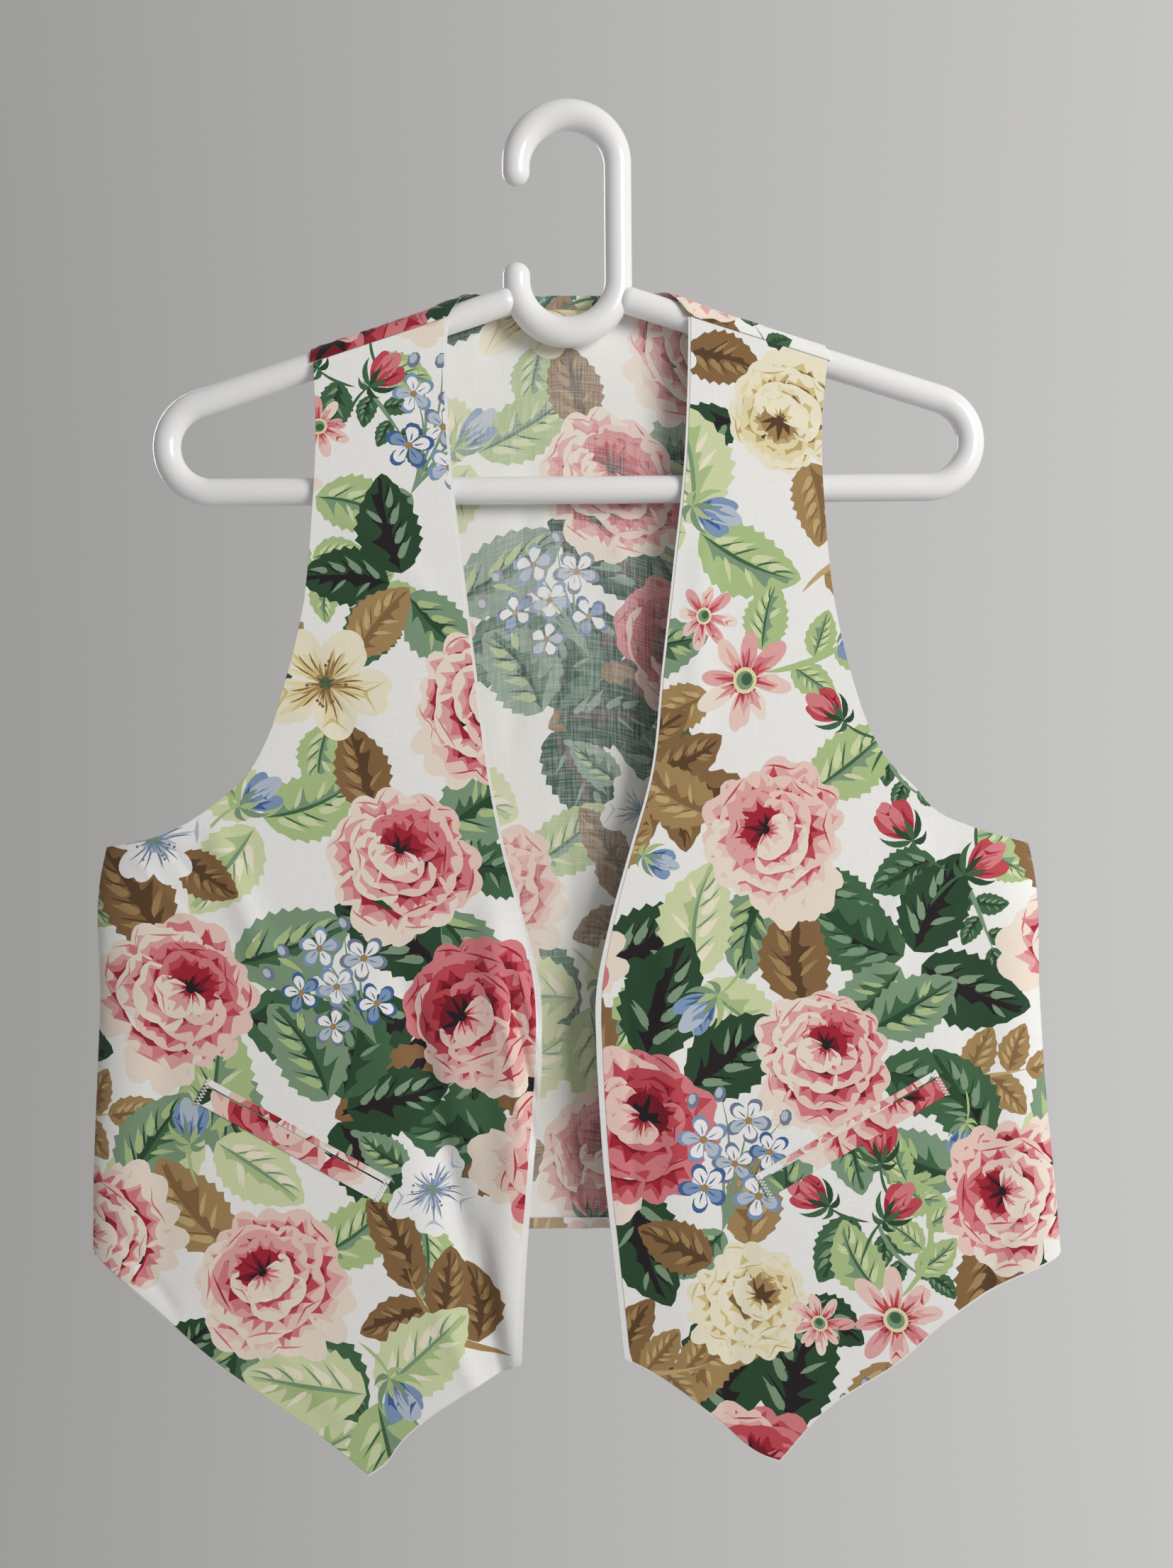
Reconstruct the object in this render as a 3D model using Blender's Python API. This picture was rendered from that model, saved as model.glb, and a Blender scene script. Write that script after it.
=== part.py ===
"""A waistcoat of printed cotton on a tubular plastic hanger. Metres, +Z up.

The origin is where the inner top of the hook bears on a rail. The fronts face -Y, and the wearer's
right side is at -X. Each piece of cloth is a grid of points on its own surface, and a Solidify
modifier gives it its wall. Pieces that meet at a seam, or lie on each other, are GAP apart.
"""

import bpy
import numpy as np

GAP = 0.0003

# Hanger: two arms that slope down to end loops, a trouser bar, and a long hook with a U at its foot
HANGER_WIDTH = 0.430
TUBE = 0.0143
HOOK_TUBE = 0.0163
LOOP_RADIUS = 0.0235
BAR_DROP = 0.186
HOOK_RADIUS = 0.0263
HOOK_LENGTH = 0.0598
HOOK_TIP_DROP = 0.0032
STUB_RISE = 0.0028
ARM_ROOT = 0.034
TUBE_SIDES_STEP = 4
ARC_STEP = np.radians(15)

# Cloth: walls, and how far their middle surfaces lie from each other
PRINT = 0.0012
LINING = 0.0010
STRIP = 0.0010
EASE = 0.0004
LINING_STEP = PRINT / 2 + GAP + LINING / 2
STRIP_STEP = PRINT / 2 + GAP + STRIP / 2
BACK_RIDE = TUBE / 2 + EASE + PRINT / 2
SEAM_HALF = 0.0005
SHOULDER_SEAM_DROP = 0.0008
SIDE_ROUND = 0.030

# Neck and shoulders
NECK_X = 0.0613
CROSSING_X = 0.050
NECK_FADE = 0.013
NECK_LIFT = 0.0013
NECK_STANDOFF = 0.0011
SETTLING_LENGTH = 0.05
FACING_DEPTH = 0.0067
HEM_TURN = 0.0056
BACK_ARMHOLE_PROUD = 0.002
PROUD_END_Z = -0.365
PROUD_FADE = 0.05
HANG_START = 0.007
FACING_END = 0.046

# Pocket: an upper lip, a slit and a welt, along one slanted line
POCKET_LENGTH = 0.107
LIP_DEPTH = 0.0033
SLIT = 0.0008
WELT_DEPTH = 0.0098
POCKET_COLUMNS = 9
POCKET_ROWS = 3

SIGN = {"right": -1.0, "left": 1.0}


def table(columns, rows):
    """A table with a name for each column."""
    return dict(zip(columns.split(), np.array(rows, dtype=float).T))


# How far the middle surfaces of the fronts and of the back hang from the hanger's plane
HANG = table(
    "z front back",
    [
        (-0.710, 0.0092, 0.0086),
        (-0.600, 0.0110, 0.0090),
        (-0.500, 0.0126, 0.0106),
        (-0.400, 0.0122, 0.0104),
        (-0.300, 0.0108, 0.0094),
        (-0.190, 0.0098, 0.0087),
        (-0.100, 0.0096, 0.0082),
    ],
)

# Outline of each front, lining included, as half widths from the middle
ARMHOLE = table(
    "right_x right_z left_x left_z",
    [
        (0.1305, -0.1215, 0.1330, -0.1225),
        (0.1296, -0.1556, 0.1301, -0.1531),
        (0.1317, -0.1966, 0.1312, -0.1990),
        (0.1372, -0.2489, 0.1363, -0.2487),
        (0.1469, -0.2877, 0.1450, -0.2865),
        (0.1550, -0.3130, 0.1551, -0.3149),
        (0.1668, -0.3335, 0.1633, -0.3284),
        (0.1793, -0.3445, 0.1756, -0.3405),
        (0.1925, -0.3542, 0.1853, -0.3519),
        (0.2085, -0.3624, 0.2070, -0.3622),
        (0.2400, -0.3691, 0.2360, -0.3704),
    ],
)
SIDE = table(
    "right_x right_z left_x left_z",
    [
        (0.2400, -0.3691, 0.2360, -0.3704),
        (0.2434, -0.3850, 0.2388, -0.3850),
        (0.2440, -0.4490, 0.2412, -0.4490),
        (0.2462, -0.4980, 0.2440, -0.4980),
        (0.2480, -0.5400, 0.2485, -0.5480),
        (0.2486, -0.5780, 0.2513, -0.5830),
    ],
)
HEM_OUTER = table(
    "right_x right_z left_x left_z",
    [
        (0.2486, -0.5780, 0.2513, -0.5830),
        (0.2154, -0.6057, 0.2195, -0.5965),
        (0.1861, -0.6321, 0.1899, -0.6152),
        (0.1572, -0.6534, 0.1673, -0.6350),
        (0.1316, -0.6714, 0.1282, -0.6605),
        (0.1064, -0.6925, 0.1045, -0.6866),
    ],
)
HEM_INNER = table(
    "right_x right_z left_x left_z",
    [
        (0.1064, -0.6925, 0.1045, -0.6866),
        (0.0990, -0.6876, 0.0965, -0.6838),
        (0.0880, -0.6738, 0.0730, -0.6649),
        (0.0763, -0.6638, 0.0567, -0.6517),
        (0.0566, -0.6508, 0.0408, -0.6410),
        (0.0274, -0.6350, 0.0252, -0.6330),
    ],
)
FRONT_EDGE = table(
    "right_x right_z left_x left_z",
    [
        (0.0613, -0.0985, 0.0620, -0.0987),
        (0.0622, -0.1285, 0.0613, -0.1305),
        (0.0600, -0.1760, 0.0590, -0.1760),
        (0.0549, -0.2215, 0.0537, -0.2223),
        (0.0488, -0.2739, 0.0471, -0.2786),
        (0.0409, -0.3357, 0.0405, -0.3348),
        (0.0339, -0.3720, 0.0293, -0.3736),
        (0.0243, -0.4084, 0.0193, -0.4091),
        (0.0162, -0.4448, 0.0121, -0.4450),
        (0.0158, -0.4811, 0.0122, -0.4814),
        (0.0201, -0.5320, 0.0151, -0.5322),
        (0.0241, -0.5788, 0.0200, -0.5800),
        (0.0274, -0.6350, 0.0252, -0.6330),
    ],
)
# White lining that shows past the printed cloth along the front edge
ROLLED_EDGE = table(
    "z width",
    [(-0.640, 0.0032), (-0.450, 0.0032), (-0.390, 0.0018), (-0.330, 0.0014), (-0.100, 0.0014)],
)
HEM_ROLL = 0.0012

# Neck edge of the back, as an angle round the arm's tube from its ridge towards the back
NECK_EDGE = table(
    "x angle",
    [
        (0, 88),
        (0.015, 82),
        (0.030, 64),
        (0.040, 43),
        (0.045, 27),
        (CROSSING_X, 0),
        (0.053, -22),
        (0.056, -44),
        (0.0587, -67),
        (NECK_X, -90),
    ],
)
BACK_HEM = table("x z", [(0, -0.5700), (0.12, -0.5705), (0.19, -0.5730), (0.23, -0.5775), (0.26, -0.5820)])

# Soft folds: a line from its upper to its lower end, half width, and height away from the hanger
FOLDS = {
    "right": table(
        "upper_x upper_z lower_x lower_z width height",
        [
            (-0.094, -0.400, -0.036, -0.672, 0.012, -0.0042),
            (-0.043, -0.380, -0.030, -0.520, 0.010, 0.0042),
            (-0.030, -0.500, -0.038, -0.655, 0.010, 0.0030),
            (-0.186, -0.352, -0.160, -0.420, 0.007, 0.0022),
            (-0.205, -0.420, -0.215, -0.580, 0.014, -0.0018),
        ],
    ),
    "left": table(
        "upper_x upper_z lower_x lower_z width height",
        [
            (0.052, -0.370, 0.060, -0.660, 0.016, 0.0016),
            (0.205, -0.400, 0.213, -0.590, 0.014, -0.0020),
            (0.180, -0.350, 0.160, -0.430, 0.008, 0.0014),
        ],
    ),
    "back": table(
        "upper_x upper_z lower_x lower_z width height",
        [
            (-0.100, -0.190, -0.128, -0.600, 0.016, 0.0026),
            (-0.040, -0.330, -0.052, -0.600, 0.014, -0.0020),
            (0.058, -0.280, 0.066, -0.600, 0.015, 0.0022),
            (0.118, -0.200, 0.150, -0.600, 0.016, 0.0030),
            (0.196, -0.370, 0.186, -0.590, 0.012, -0.0018),
        ],
    ),
}

# Shares of a fold's length over which it rises at its upper end, and dies away past its lower end
FOLD_FADE_IN = 0.3
FOLD_FADE_OUT = 0.25

# Upper end of each pocket's slit, as half width and height, and its slant in degrees
POCKET = table("right left", [(0.1885, 0.1872), (-0.4905, -0.4890), (29.2, 29.8)])

# Where the grid lines of a front fall: across from the armhole and side to the front edge
SIDE_COLUMNS = (0, 0.007, 0.023, 0.055, 0.100, 0.160)
TIP_COLUMN = 0.63
BROAD_COLUMNS = 7
INNER_COLUMNS = 7
ARMHOLE_SHARES = (0, 0.11, 0.22, 0.33, 0.44, 0.55, 0.66, 0.76, 0.83, 0.885, 0.925, 0.955, 0.98, 0.993, 1)
ARMHOLE_SHARE_DOWN = 0.6
SIDE_ROWS = 8
SIDE_SAMPLES = 40
BACK_WAIST = -0.475
EDGE_ROW = 9
FACING_ROWS = 3
WRAP_ROWS = 6
# Shares of the shoulder seam, from the neck out, where grid lines of the back start
SEAM_COLUMNS = (0, 0.20, 0.42, 0.64, 0.82, 0.91, 0.965, 0.99, 1)


def clear_scene():
    for thing in list(bpy.data.objects):
        bpy.data.objects.remove(thing, do_unlink=True)


def finish(name, colour, roughness):
    made = bpy.data.materials.new(name)
    made.use_nodes = True
    shader = made.node_tree.nodes["Principled BSDF"]
    shader.inputs["Base Color"].default_value = (*colour, 1)
    shader.inputs["Roughness"].default_value = roughness
    return made


def ease(value):
    """Smooth step from 0 to 1."""
    value = np.clip(value, 0, 1)
    return value * value * (3 - 2 * value)


def edge_points(columns, side):
    """The points of an outline table for one side, as x and z."""
    return np.stack([SIGN[side] * columns[side + "_x"], columns[side + "_z"]], axis=1)


def along(points, shares):
    """Points at these shares of the length of a smooth curve through the given points."""
    points = np.asarray(points, dtype=float)
    reach = np.concatenate([[0], np.cumsum(np.linalg.norm(np.diff(points, axis=0), axis=1))])
    slopes = np.gradient(points, reach, axis=0)
    at = np.asarray(shares) * reach[-1]
    piece = np.clip(np.searchsorted(reach, at, side="right") - 1, 0, len(reach) - 2)
    length = (reach[piece + 1] - reach[piece])[:, None]
    t = (at - reach[piece])[:, None] / length
    start, end = points[piece], points[piece + 1]
    leave, arrive = slopes[piece] * length, slopes[piece + 1] * length
    return (
        start * (2 * t**3 - 3 * t**2 + 1)
        + leave * (t**3 - 2 * t**2 + t)
        + end * (3 * t**2 - 2 * t**3)
        + arrive * (t**3 - t**2)
    )


def joined(*curves):
    """Curves end to end, each without the first point that it shares with the one before."""
    return np.concatenate([curves[0]] + [curve[1:] for curve in curves[1:]])


def patch(top, bottom, outer, inner, across, down):
    """The plane grid between four edge curves, each edge blended across to the one opposite."""
    u = across[None, :, None]
    v = down[:, None, None]
    corners = (1 - u) * (1 - v) * top[0] + u * (1 - v) * top[-1]
    corners = corners + (1 - u) * v * bottom[0] + u * v * bottom[-1]
    sides = (1 - u) * outer[:, None] + u * inner[:, None]
    return sides + (1 - v) * top[None] + v * bottom[None] - corners


def side_half_width(x, z):
    """Half width at the side seams, the right one where x is negative."""
    halves = []
    for side in ("right", "left"):
        seam = along(edge_points(SIDE, side), np.linspace(0, 1, SIDE_SAMPLES))
        halves.append(np.interp(-z, -seam[:, 1], np.abs(seam[:, 0])))
    return np.where(x < 0, halves[0], halves[1])


def side_round(x, z):
    """1 over the panel, falling along a quarter circle to 0 at the side seam."""
    inside = np.clip((side_half_width(x, z) - np.abs(x)) / SIDE_ROUND, 0, 1)
    return np.sqrt(1 - (1 - inside) ** 2)


def fold_height(x, z, folds):
    """Soft troughs and ridges: bell-shaped across their line, fading in at both ends."""
    total = np.zeros_like(x)
    for i in range(len(folds["width"])):
        start = np.array([folds["upper_x"][i], folds["upper_z"][i]])
        run = np.array([folds["lower_x"][i], folds["lower_z"][i]]) - start
        length = np.hypot(*run)
        share = ((x - start[0]) * run[0] + (z - start[1]) * run[1]) / length**2
        off = ((x - start[0]) * run[1] - (z - start[1]) * run[0]) / length
        fade = ease(share / FOLD_FADE_IN) * ease((1 + FOLD_FADE_OUT - share) / FOLD_FADE_OUT)
        total = total + folds["height"][i] * fade * np.exp(-((off / folds["width"][i]) ** 2))
    return total


def arm_drop():
    """Slope of the arms: the straight line from the centre of the U that touches the end loop."""
    across = HANGER_WIDTH / 2 - TUBE / 2 - LOOP_RADIUS
    down = BAR_DROP - LOOP_RADIUS - u_drop()
    return np.arctan2(down, across) - np.arcsin(LOOP_RADIUS / np.hypot(across, down))


def top_drop():
    """Depth of the centre of the hook's top arc below the origin."""
    return HOOK_RADIUS - HOOK_TUBE / 2


def u_drop():
    return top_drop() + HOOK_LENGTH


def arm_height(x):
    """Height of the arms' centre line, rounded off between the arms."""
    reach = np.abs(x)
    run = np.where(reach > ARM_ROOT, reach, (ARM_ROOT + reach**2 / ARM_ROOT) / 2)
    return -u_drop() - np.tan(arm_drop()) * run


def front_surface(x, z, side):
    """Middle surface of the printed cloth of a front."""
    hang = np.interp(z, HANG["z"], HANG["front"]) + fold_height(x, z, FOLDS[side])
    return np.stack([x, -SEAM_HALF - hang * side_round(x, z), z], axis=-1)


def neck_share(x):
    """1 at the back of the neck, falling to 0 just past the neck end of the shoulder seam."""
    return ease((NECK_X + NECK_FADE - np.abs(x)) / NECK_FADE)


def back_surface(x, w):
    """Middle surface of the back: w runs from the ridge over the arm and down behind it."""
    lift = NECK_LIFT * neck_share(x)
    rise = (BACK_RIDE + lift) / np.cos(arm_drop())
    reach = BACK_RIDE + lift + NECK_STANDOFF * ease((CROSSING_X - np.abs(x)) / NECK_FADE)
    quarter = quarter_turn()
    angle = np.clip(w / quarter, -1, 1) * np.pi / 2
    z = arm_height(x) + rise * np.cos(angle) - np.clip(w - quarter, 0, None)
    hang = np.interp(z, HANG["z"], HANG["back"]) + fold_height(x, z, FOLDS["back"])
    settled = ease((w - quarter) / SETTLING_LENGTH)
    behind = reach * np.sin(angle) * (1 - settled) + (SEAM_HALF + hang * side_round(x, z)) * settled
    return np.stack([x, behind, z], axis=-1)


def quarter_turn():
    """Length of cloth over a quarter of the arm's tube."""
    return BACK_RIDE * np.pi / 2


def neck_start(x):
    """Where the back's top edge lies: the neck edge, then the shoulder seam in front of the tube."""
    return np.interp(np.abs(x), NECK_EDGE["x"], NECK_EDGE["angle"]) / 90 * quarter_turn()


def outward(grid, towards):
    """Unit normals of a grid of points, on the side of the given direction."""
    normal = np.cross(np.gradient(grid, axis=1), np.gradient(grid, axis=0))
    normal /= np.linalg.norm(normal, axis=2, keepdims=True)
    return normal * np.sign((normal * towards).sum())


def cloth(name, grid, wall, material):
    """One piece of cloth: the grid as a sheet, with its wall half on each side."""
    rows, columns = grid.shape[:2]
    corner = (np.arange(rows - 1)[:, None] * columns + np.arange(columns - 1)[None]).ravel()
    faces = np.stack([corner, corner + 1, corner + columns + 1, corner + columns], axis=1)
    mesh = bpy.data.meshes.new(name)
    mesh.from_pydata(grid.reshape(-1, 3).tolist(), [], faces.tolist())
    mesh.materials.append(material)
    mesh.shade_smooth()
    made = bpy.data.objects.new(name, mesh)
    bpy.context.scene.collection.objects.link(made)
    solid = made.modifiers.new("wall", "SOLIDIFY")
    solid.thickness = wall
    solid.offset = 0
    solid.use_even_offset = True
    return made


def tube(name, points, radii, material):
    """A round tube along a smooth run of points, with its own radius at each."""
    curve = bpy.data.curves.new(name, "CURVE")
    curve.dimensions = "3D"
    curve.bevel_depth = 1.0
    curve.bevel_resolution = TUBE_SIDES_STEP
    curve.use_fill_caps = True
    spline = curve.splines.new("POLY")
    spline.points.add(len(points) - 1)
    for point, (x, z), radius in zip(spline.points, points, radii):
        point.co = (x, 0, z, 1)
        point.radius = radius
    curve.materials.append(material)
    made = bpy.data.objects.new(name, curve)
    bpy.context.scene.collection.objects.link(made)
    return made


def arc(centre, radius, first, last):
    """Points of an arc in the hanger's plane, between two angles in radians."""
    steps = max(2, int(round(abs(last - first) / ARC_STEP)))
    angles = np.linspace(first, last, steps + 1)
    return np.stack([centre[0] + radius * np.cos(angles), centre[1] + radius * np.sin(angles)], axis=1)


def round_end(point, direction, radius):
    """Points and radii that close a tube with half a ball."""
    angles = np.radians([30, 60, 80])
    points = np.asarray(point) + radius * np.sin(angles)[:, None] * np.asarray(direction)
    return points, radius * np.cos(angles)


def hanger_hook(material):
    """The hook: a half circle over the rail, a straight shaft, and a U that ends in a stub."""
    top = np.array([0, -top_drop()])
    foot = np.array([0, -u_drop()])
    over = arc(top, HOOK_RADIUS, np.pi, 0)
    under = arc(foot, HOOK_RADIUS, 0, -np.pi)
    tip = over[0] - (0, HOOK_TIP_DROP)
    stub = under[-1] + (0, STUB_RISE)
    route = np.concatenate([[tip], over, under, [stub]])
    drawn = TUBE + (HOOK_TUBE - TUBE) * np.abs(np.sin(np.linspace(0, np.pi, len(over))))
    bent = TUBE + (HOOK_TUBE - TUBE) * np.abs(np.sin(np.linspace(0, np.pi, len(under))))
    radii = np.concatenate([[TUBE], drawn, bent, [TUBE]]) / 2
    tip_points, tip_radii = round_end(tip, (0, -1), TUBE / 2)
    stub_points, stub_radii = round_end(stub, (0, 1), TUBE / 2)
    route = np.concatenate([tip_points[::-1], route, stub_points])
    radii = np.concatenate([tip_radii[::-1], radii, stub_radii])
    return tube("hanger_hook", route, radii, material)


def hanger_frame(material):
    """The arms, end loops and bar as one tube, from one side of the U round to the other."""
    drop = arm_drop()
    foot = np.array([0, -u_drop()])
    loop_x = HANGER_WIDTH / 2 - TUBE / 2 - LOOP_RADIUS
    loop_z = -BAR_DROP + LOOP_RADIUS
    clear = HOOK_RADIUS + HOOK_TUBE / 2 + GAP
    root = foot + clear * np.array([np.cos(drop), -np.sin(drop)])
    right_loop = arc((loop_x, loop_z), LOOP_RADIUS, np.pi / 2 - drop, -np.pi / 2)
    half = np.concatenate([[root], right_loop])
    route = np.concatenate([half, half[::-1] * (-1, 1)])
    return tube("hanger_frame", route, np.full(len(route), TUBE / 2), material)


def front_grid(side):
    """Plane grid of a front's whole outline, and of its printed cloth inside the rolled edges."""
    inner_share = np.linspace(TIP_COLUMN, 1, INNER_COLUMNS)
    broad = np.linspace(SIDE_COLUMNS[-1], TIP_COLUMN, BROAD_COLUMNS)
    across = joined(np.array(SIDE_COLUMNS), broad, inner_share)
    upper = np.linspace(0, 1, len(ARMHOLE_SHARES))
    lower = np.linspace(0, 1, SIDE_ROWS)
    down = joined(upper * ARMHOLE_SHARE_DOWN, ARMHOLE_SHARE_DOWN + lower * (1 - ARMHOLE_SHARE_DOWN))
    armhole = along(edge_points(ARMHOLE, side), ARMHOLE_SHARES)
    outer = joined(armhole, along(edge_points(SIDE, side), lower))
    edge = edge_points(FRONT_EDGE, side)
    inner = joined(along(edge[: EDGE_ROW + 1], upper), along(edge[EDGE_ROW:], lower))
    seam_x = outer[0, 0] + (inner[0, 0] - outer[0, 0]) * across
    top = np.stack([seam_x, arm_height(seam_x) - SHOULDER_SEAM_DROP], axis=1)
    outer[0], inner[0] = top[0], top[-1]
    outer_shares = across[: 1 - INNER_COLUMNS] / TIP_COLUMN
    inner_shares = (inner_share - TIP_COLUMN) / (1 - TIP_COLUMN)
    bottom = joined(
        along(edge_points(HEM_OUTER, side), outer_shares),
        along(edge_points(HEM_INNER, side), inner_shares),
    )
    bands = np.interp(inner[:, 1], ROLLED_EDGE["z"], ROLLED_EDGE["width"])
    print_inner = inner + np.stack([SIGN[side] * bands, 0 * bands], axis=1)
    print_bottom = bottom + (0, HEM_ROLL)
    print_bottom[-1] = print_inner[-1] + (0, HEM_ROLL)
    print_inner[-1] = print_bottom[-1]
    print_outer = outer.copy()
    print_outer[-1] = print_bottom[0]
    print_top = top.copy()
    print_top[-1] = print_inner[0]
    printed = patch(print_top, print_bottom, print_outer, print_inner, across, down)
    return printed, inner, bottom


def front_pieces(side, print_material, lining_material):
    """A front and its lining, which is the front's own grid moved in and carried past its edges."""
    printed, inner, bottom = front_grid(side)
    sheet = front_surface(printed[..., 0], printed[..., 1], side)
    cloth("front_" + side, sheet, PRINT, print_material)
    whole = np.concatenate([printed, inner[:, None]], axis=1)
    last_row = np.concatenate([bottom, inner[-1:]])
    last_row[-2] = (printed[-1, -1, 0], bottom[-1, 1])
    whole = np.concatenate([whole, last_row[None]], axis=0)
    whole[-2, -1, 1] = printed[-1, -1, 1]
    sheet = front_surface(whole[..., 0], whole[..., 1], side)
    moved = sheet - LINING_STEP * outward(sheet, (0, -1, 0))
    cloth("lining_" + side, moved, LINING, lining_material)


def pocket_pieces(side, material):
    """The upper lip and the welt of a pocket, lying on the front along the slanted slit."""
    x, z, slant = POCKET[side]
    slope = np.radians(slant)
    run = np.array([-SIGN[side] * np.cos(slope), -np.sin(slope)])
    below = np.array([SIGN[side] * np.sin(slope), -np.cos(slope)])
    start = np.array([SIGN[side] * x, z])
    shares = np.linspace(0, 1, POCKET_COLUMNS)[None, :, None]
    for name, first, last in (
        ("pocket_lip_", -SLIT - LIP_DEPTH, -SLIT),
        ("pocket_welt_", 0, WELT_DEPTH),
    ):
        depth = np.linspace(first, last, POCKET_ROWS)[:, None, None]
        flat = start + run * POCKET_LENGTH * shares + below * depth
        sheet = front_surface(flat[..., 0], flat[..., 1], side)
        moved = sheet + STRIP_STEP * outward(sheet, (0, -1, 0))
        cloth(name + side, moved, STRIP, material)


def back_edge(side, side_shares):
    """Armhole and side of the back: the front's, a little wider at the armhole."""
    armhole = along(edge_points(ARMHOLE, side), ARMHOLE_SHARES)
    proud = BACK_ARMHOLE_PROUD * ease((armhole[:, 1] - PROUD_END_Z) / PROUD_FADE)
    armhole[:, 0] += SIGN[side] * proud
    return joined(armhole, along(edge_points(SIDE, side), side_shares))


def back_half(side):
    """Plane grid of one half of the back, from the armhole and side to the middle, below the arms."""
    side_length = SIDE["right_z"][0] - SIDE["right_z"][-1]
    lower = np.append(np.linspace(0, 1 - HEM_TURN / side_length, SIDE_ROWS), 1)
    outer = back_edge(side, lower)
    shoulder = abs(outer[0, 0])
    seam = NECK_X + (shoulder - NECK_X) * np.array(SEAM_COLUMNS)
    top_x = joined(NECK_EDGE["x"], seam)[::-1]
    across = 1 - top_x / shoulder
    top = np.stack([SIGN[side] * top_x, arm_height(top_x) - HANG_START], axis=1)
    outer[0] = top[0]
    hem_x = abs(outer[-1, 0]) * (1 - across)
    hem_z = np.interp(hem_x, BACK_HEM["x"], BACK_HEM["z"])
    bottom = np.stack([SIGN[side] * hem_x, hem_z], axis=1)
    outer[-1] = bottom[0]
    upper = np.linspace(0, 1, len(ARMHOLE_SHARES))
    waist = BACK_WAIST - top[-1, 1]
    middle_z = joined(top[-1, 1] + waist * upper, BACK_WAIST + (hem_z[-1] - BACK_WAIST) * lower)
    middle = np.stack([0 * middle_z, middle_z], axis=1)
    down = (middle_z - middle_z[0]) / (middle_z[-1] - middle_z[0])
    return patch(top, bottom, outer, middle, across, down)


def back_grid():
    """Grid of the back in its own lengths: x across, and w down from the ridge over the arms."""
    right, left = back_half("right"), back_half("left")
    hang = np.concatenate([right, left[:, -2::-1]], axis=1)
    hang_x = hang[..., 0]
    hang_w = quarter_turn() + arm_height(hang_x) - hang[..., 1]
    start = neck_start(hang_x[0])
    slant = np.minimum(np.gradient(start, hang_x[0]) ** 2, 1)
    facing = start + FACING_DEPTH * np.sqrt(1 + slant)
    near = start + (facing - start) * np.arange(FACING_ROWS)[:, None] / FACING_ROWS
    far = facing + (hang_w[0] - facing) * np.arange(WRAP_ROWS)[:, None] / WRAP_ROWS
    x = np.concatenate([np.repeat(hang_x[:1], FACING_ROWS + WRAP_ROWS, axis=0), hang_x])
    return x, np.concatenate([near, far, hang_w])


def back_pieces(print_material, strip_material):
    """The back, its neck facing and its turned-up hem, which lie on its inner side."""
    x, w = back_grid()
    sheet = back_surface(x, w)
    cloth("back", sheet, PRINT, print_material)
    inner = sheet - STRIP_STEP * outward(sheet, (0, 1, 0))
    neck = np.abs(x[0]) < FACING_END
    cloth("back_neck_facing", inner[: FACING_ROWS + 1][:, neck], STRIP, strip_material)
    cloth("back_hem", inner[-2:, 1:-1], STRIP, strip_material)


def build():
    clear_scene()
    plastic = finish("moulded_plastic", (0.86, 0.86, 0.85), 0.25)
    printed = finish("printed_cotton", (0.80, 0.72, 0.66), 0.8)
    strip = finish("printed_cotton_strip", (0.78, 0.66, 0.60), 0.8)
    white = finish("white_cotton", (0.88, 0.88, 0.88), 0.8)
    hanger_hook(plastic)
    hanger_frame(plastic)
    for side in ("right", "left"):
        front_pieces(side, printed, white)
        pocket_pieces(side, strip)
    back_pieces(printed, strip)


build()
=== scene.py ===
"""Looks of a printed cotton waistcoat that hangs open on a white plastic tube hanger.

The fronts face -Y and the wearer's right side is at -X. Every piece of cloth is cut flat first, as
triangles that follow the edges of its print, and is then carried onto its own curved surface.
"""

import bpy
import numpy as np
from mathutils import Matrix
from mathutils.geometry import delaunay_2d_cdt


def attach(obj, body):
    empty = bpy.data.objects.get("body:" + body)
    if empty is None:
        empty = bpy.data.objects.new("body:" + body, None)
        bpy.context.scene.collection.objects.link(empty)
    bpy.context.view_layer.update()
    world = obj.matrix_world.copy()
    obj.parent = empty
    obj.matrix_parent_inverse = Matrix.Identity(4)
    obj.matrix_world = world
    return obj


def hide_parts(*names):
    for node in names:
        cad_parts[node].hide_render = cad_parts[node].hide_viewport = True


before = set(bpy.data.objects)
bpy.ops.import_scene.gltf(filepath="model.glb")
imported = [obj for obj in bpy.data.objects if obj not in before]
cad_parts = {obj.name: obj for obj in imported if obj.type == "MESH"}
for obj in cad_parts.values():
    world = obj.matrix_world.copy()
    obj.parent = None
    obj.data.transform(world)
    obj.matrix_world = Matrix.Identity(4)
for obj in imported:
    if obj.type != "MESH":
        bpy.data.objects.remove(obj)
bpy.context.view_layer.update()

SIGN = {"right": -1.0, "left": 1.0}

# Hanger, as its solids have it
HANGER_WIDTH = 0.430
TUBE = 0.0143
HOOK_TUBE = 0.0163
LOOP_RADIUS = 0.0235
BAR_DROP = 0.186
HOOK_RADIUS = 0.0263
HOOK_LENGTH = 0.0598
HOOK_TIP_DROP = 0.0032
STUB_RISE = 0.0028
ARM_ROOT = 0.034
TUBE_SIDES = 48
TUBE_STEP = 0.004
ARC_STEP = np.radians(3)

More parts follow.
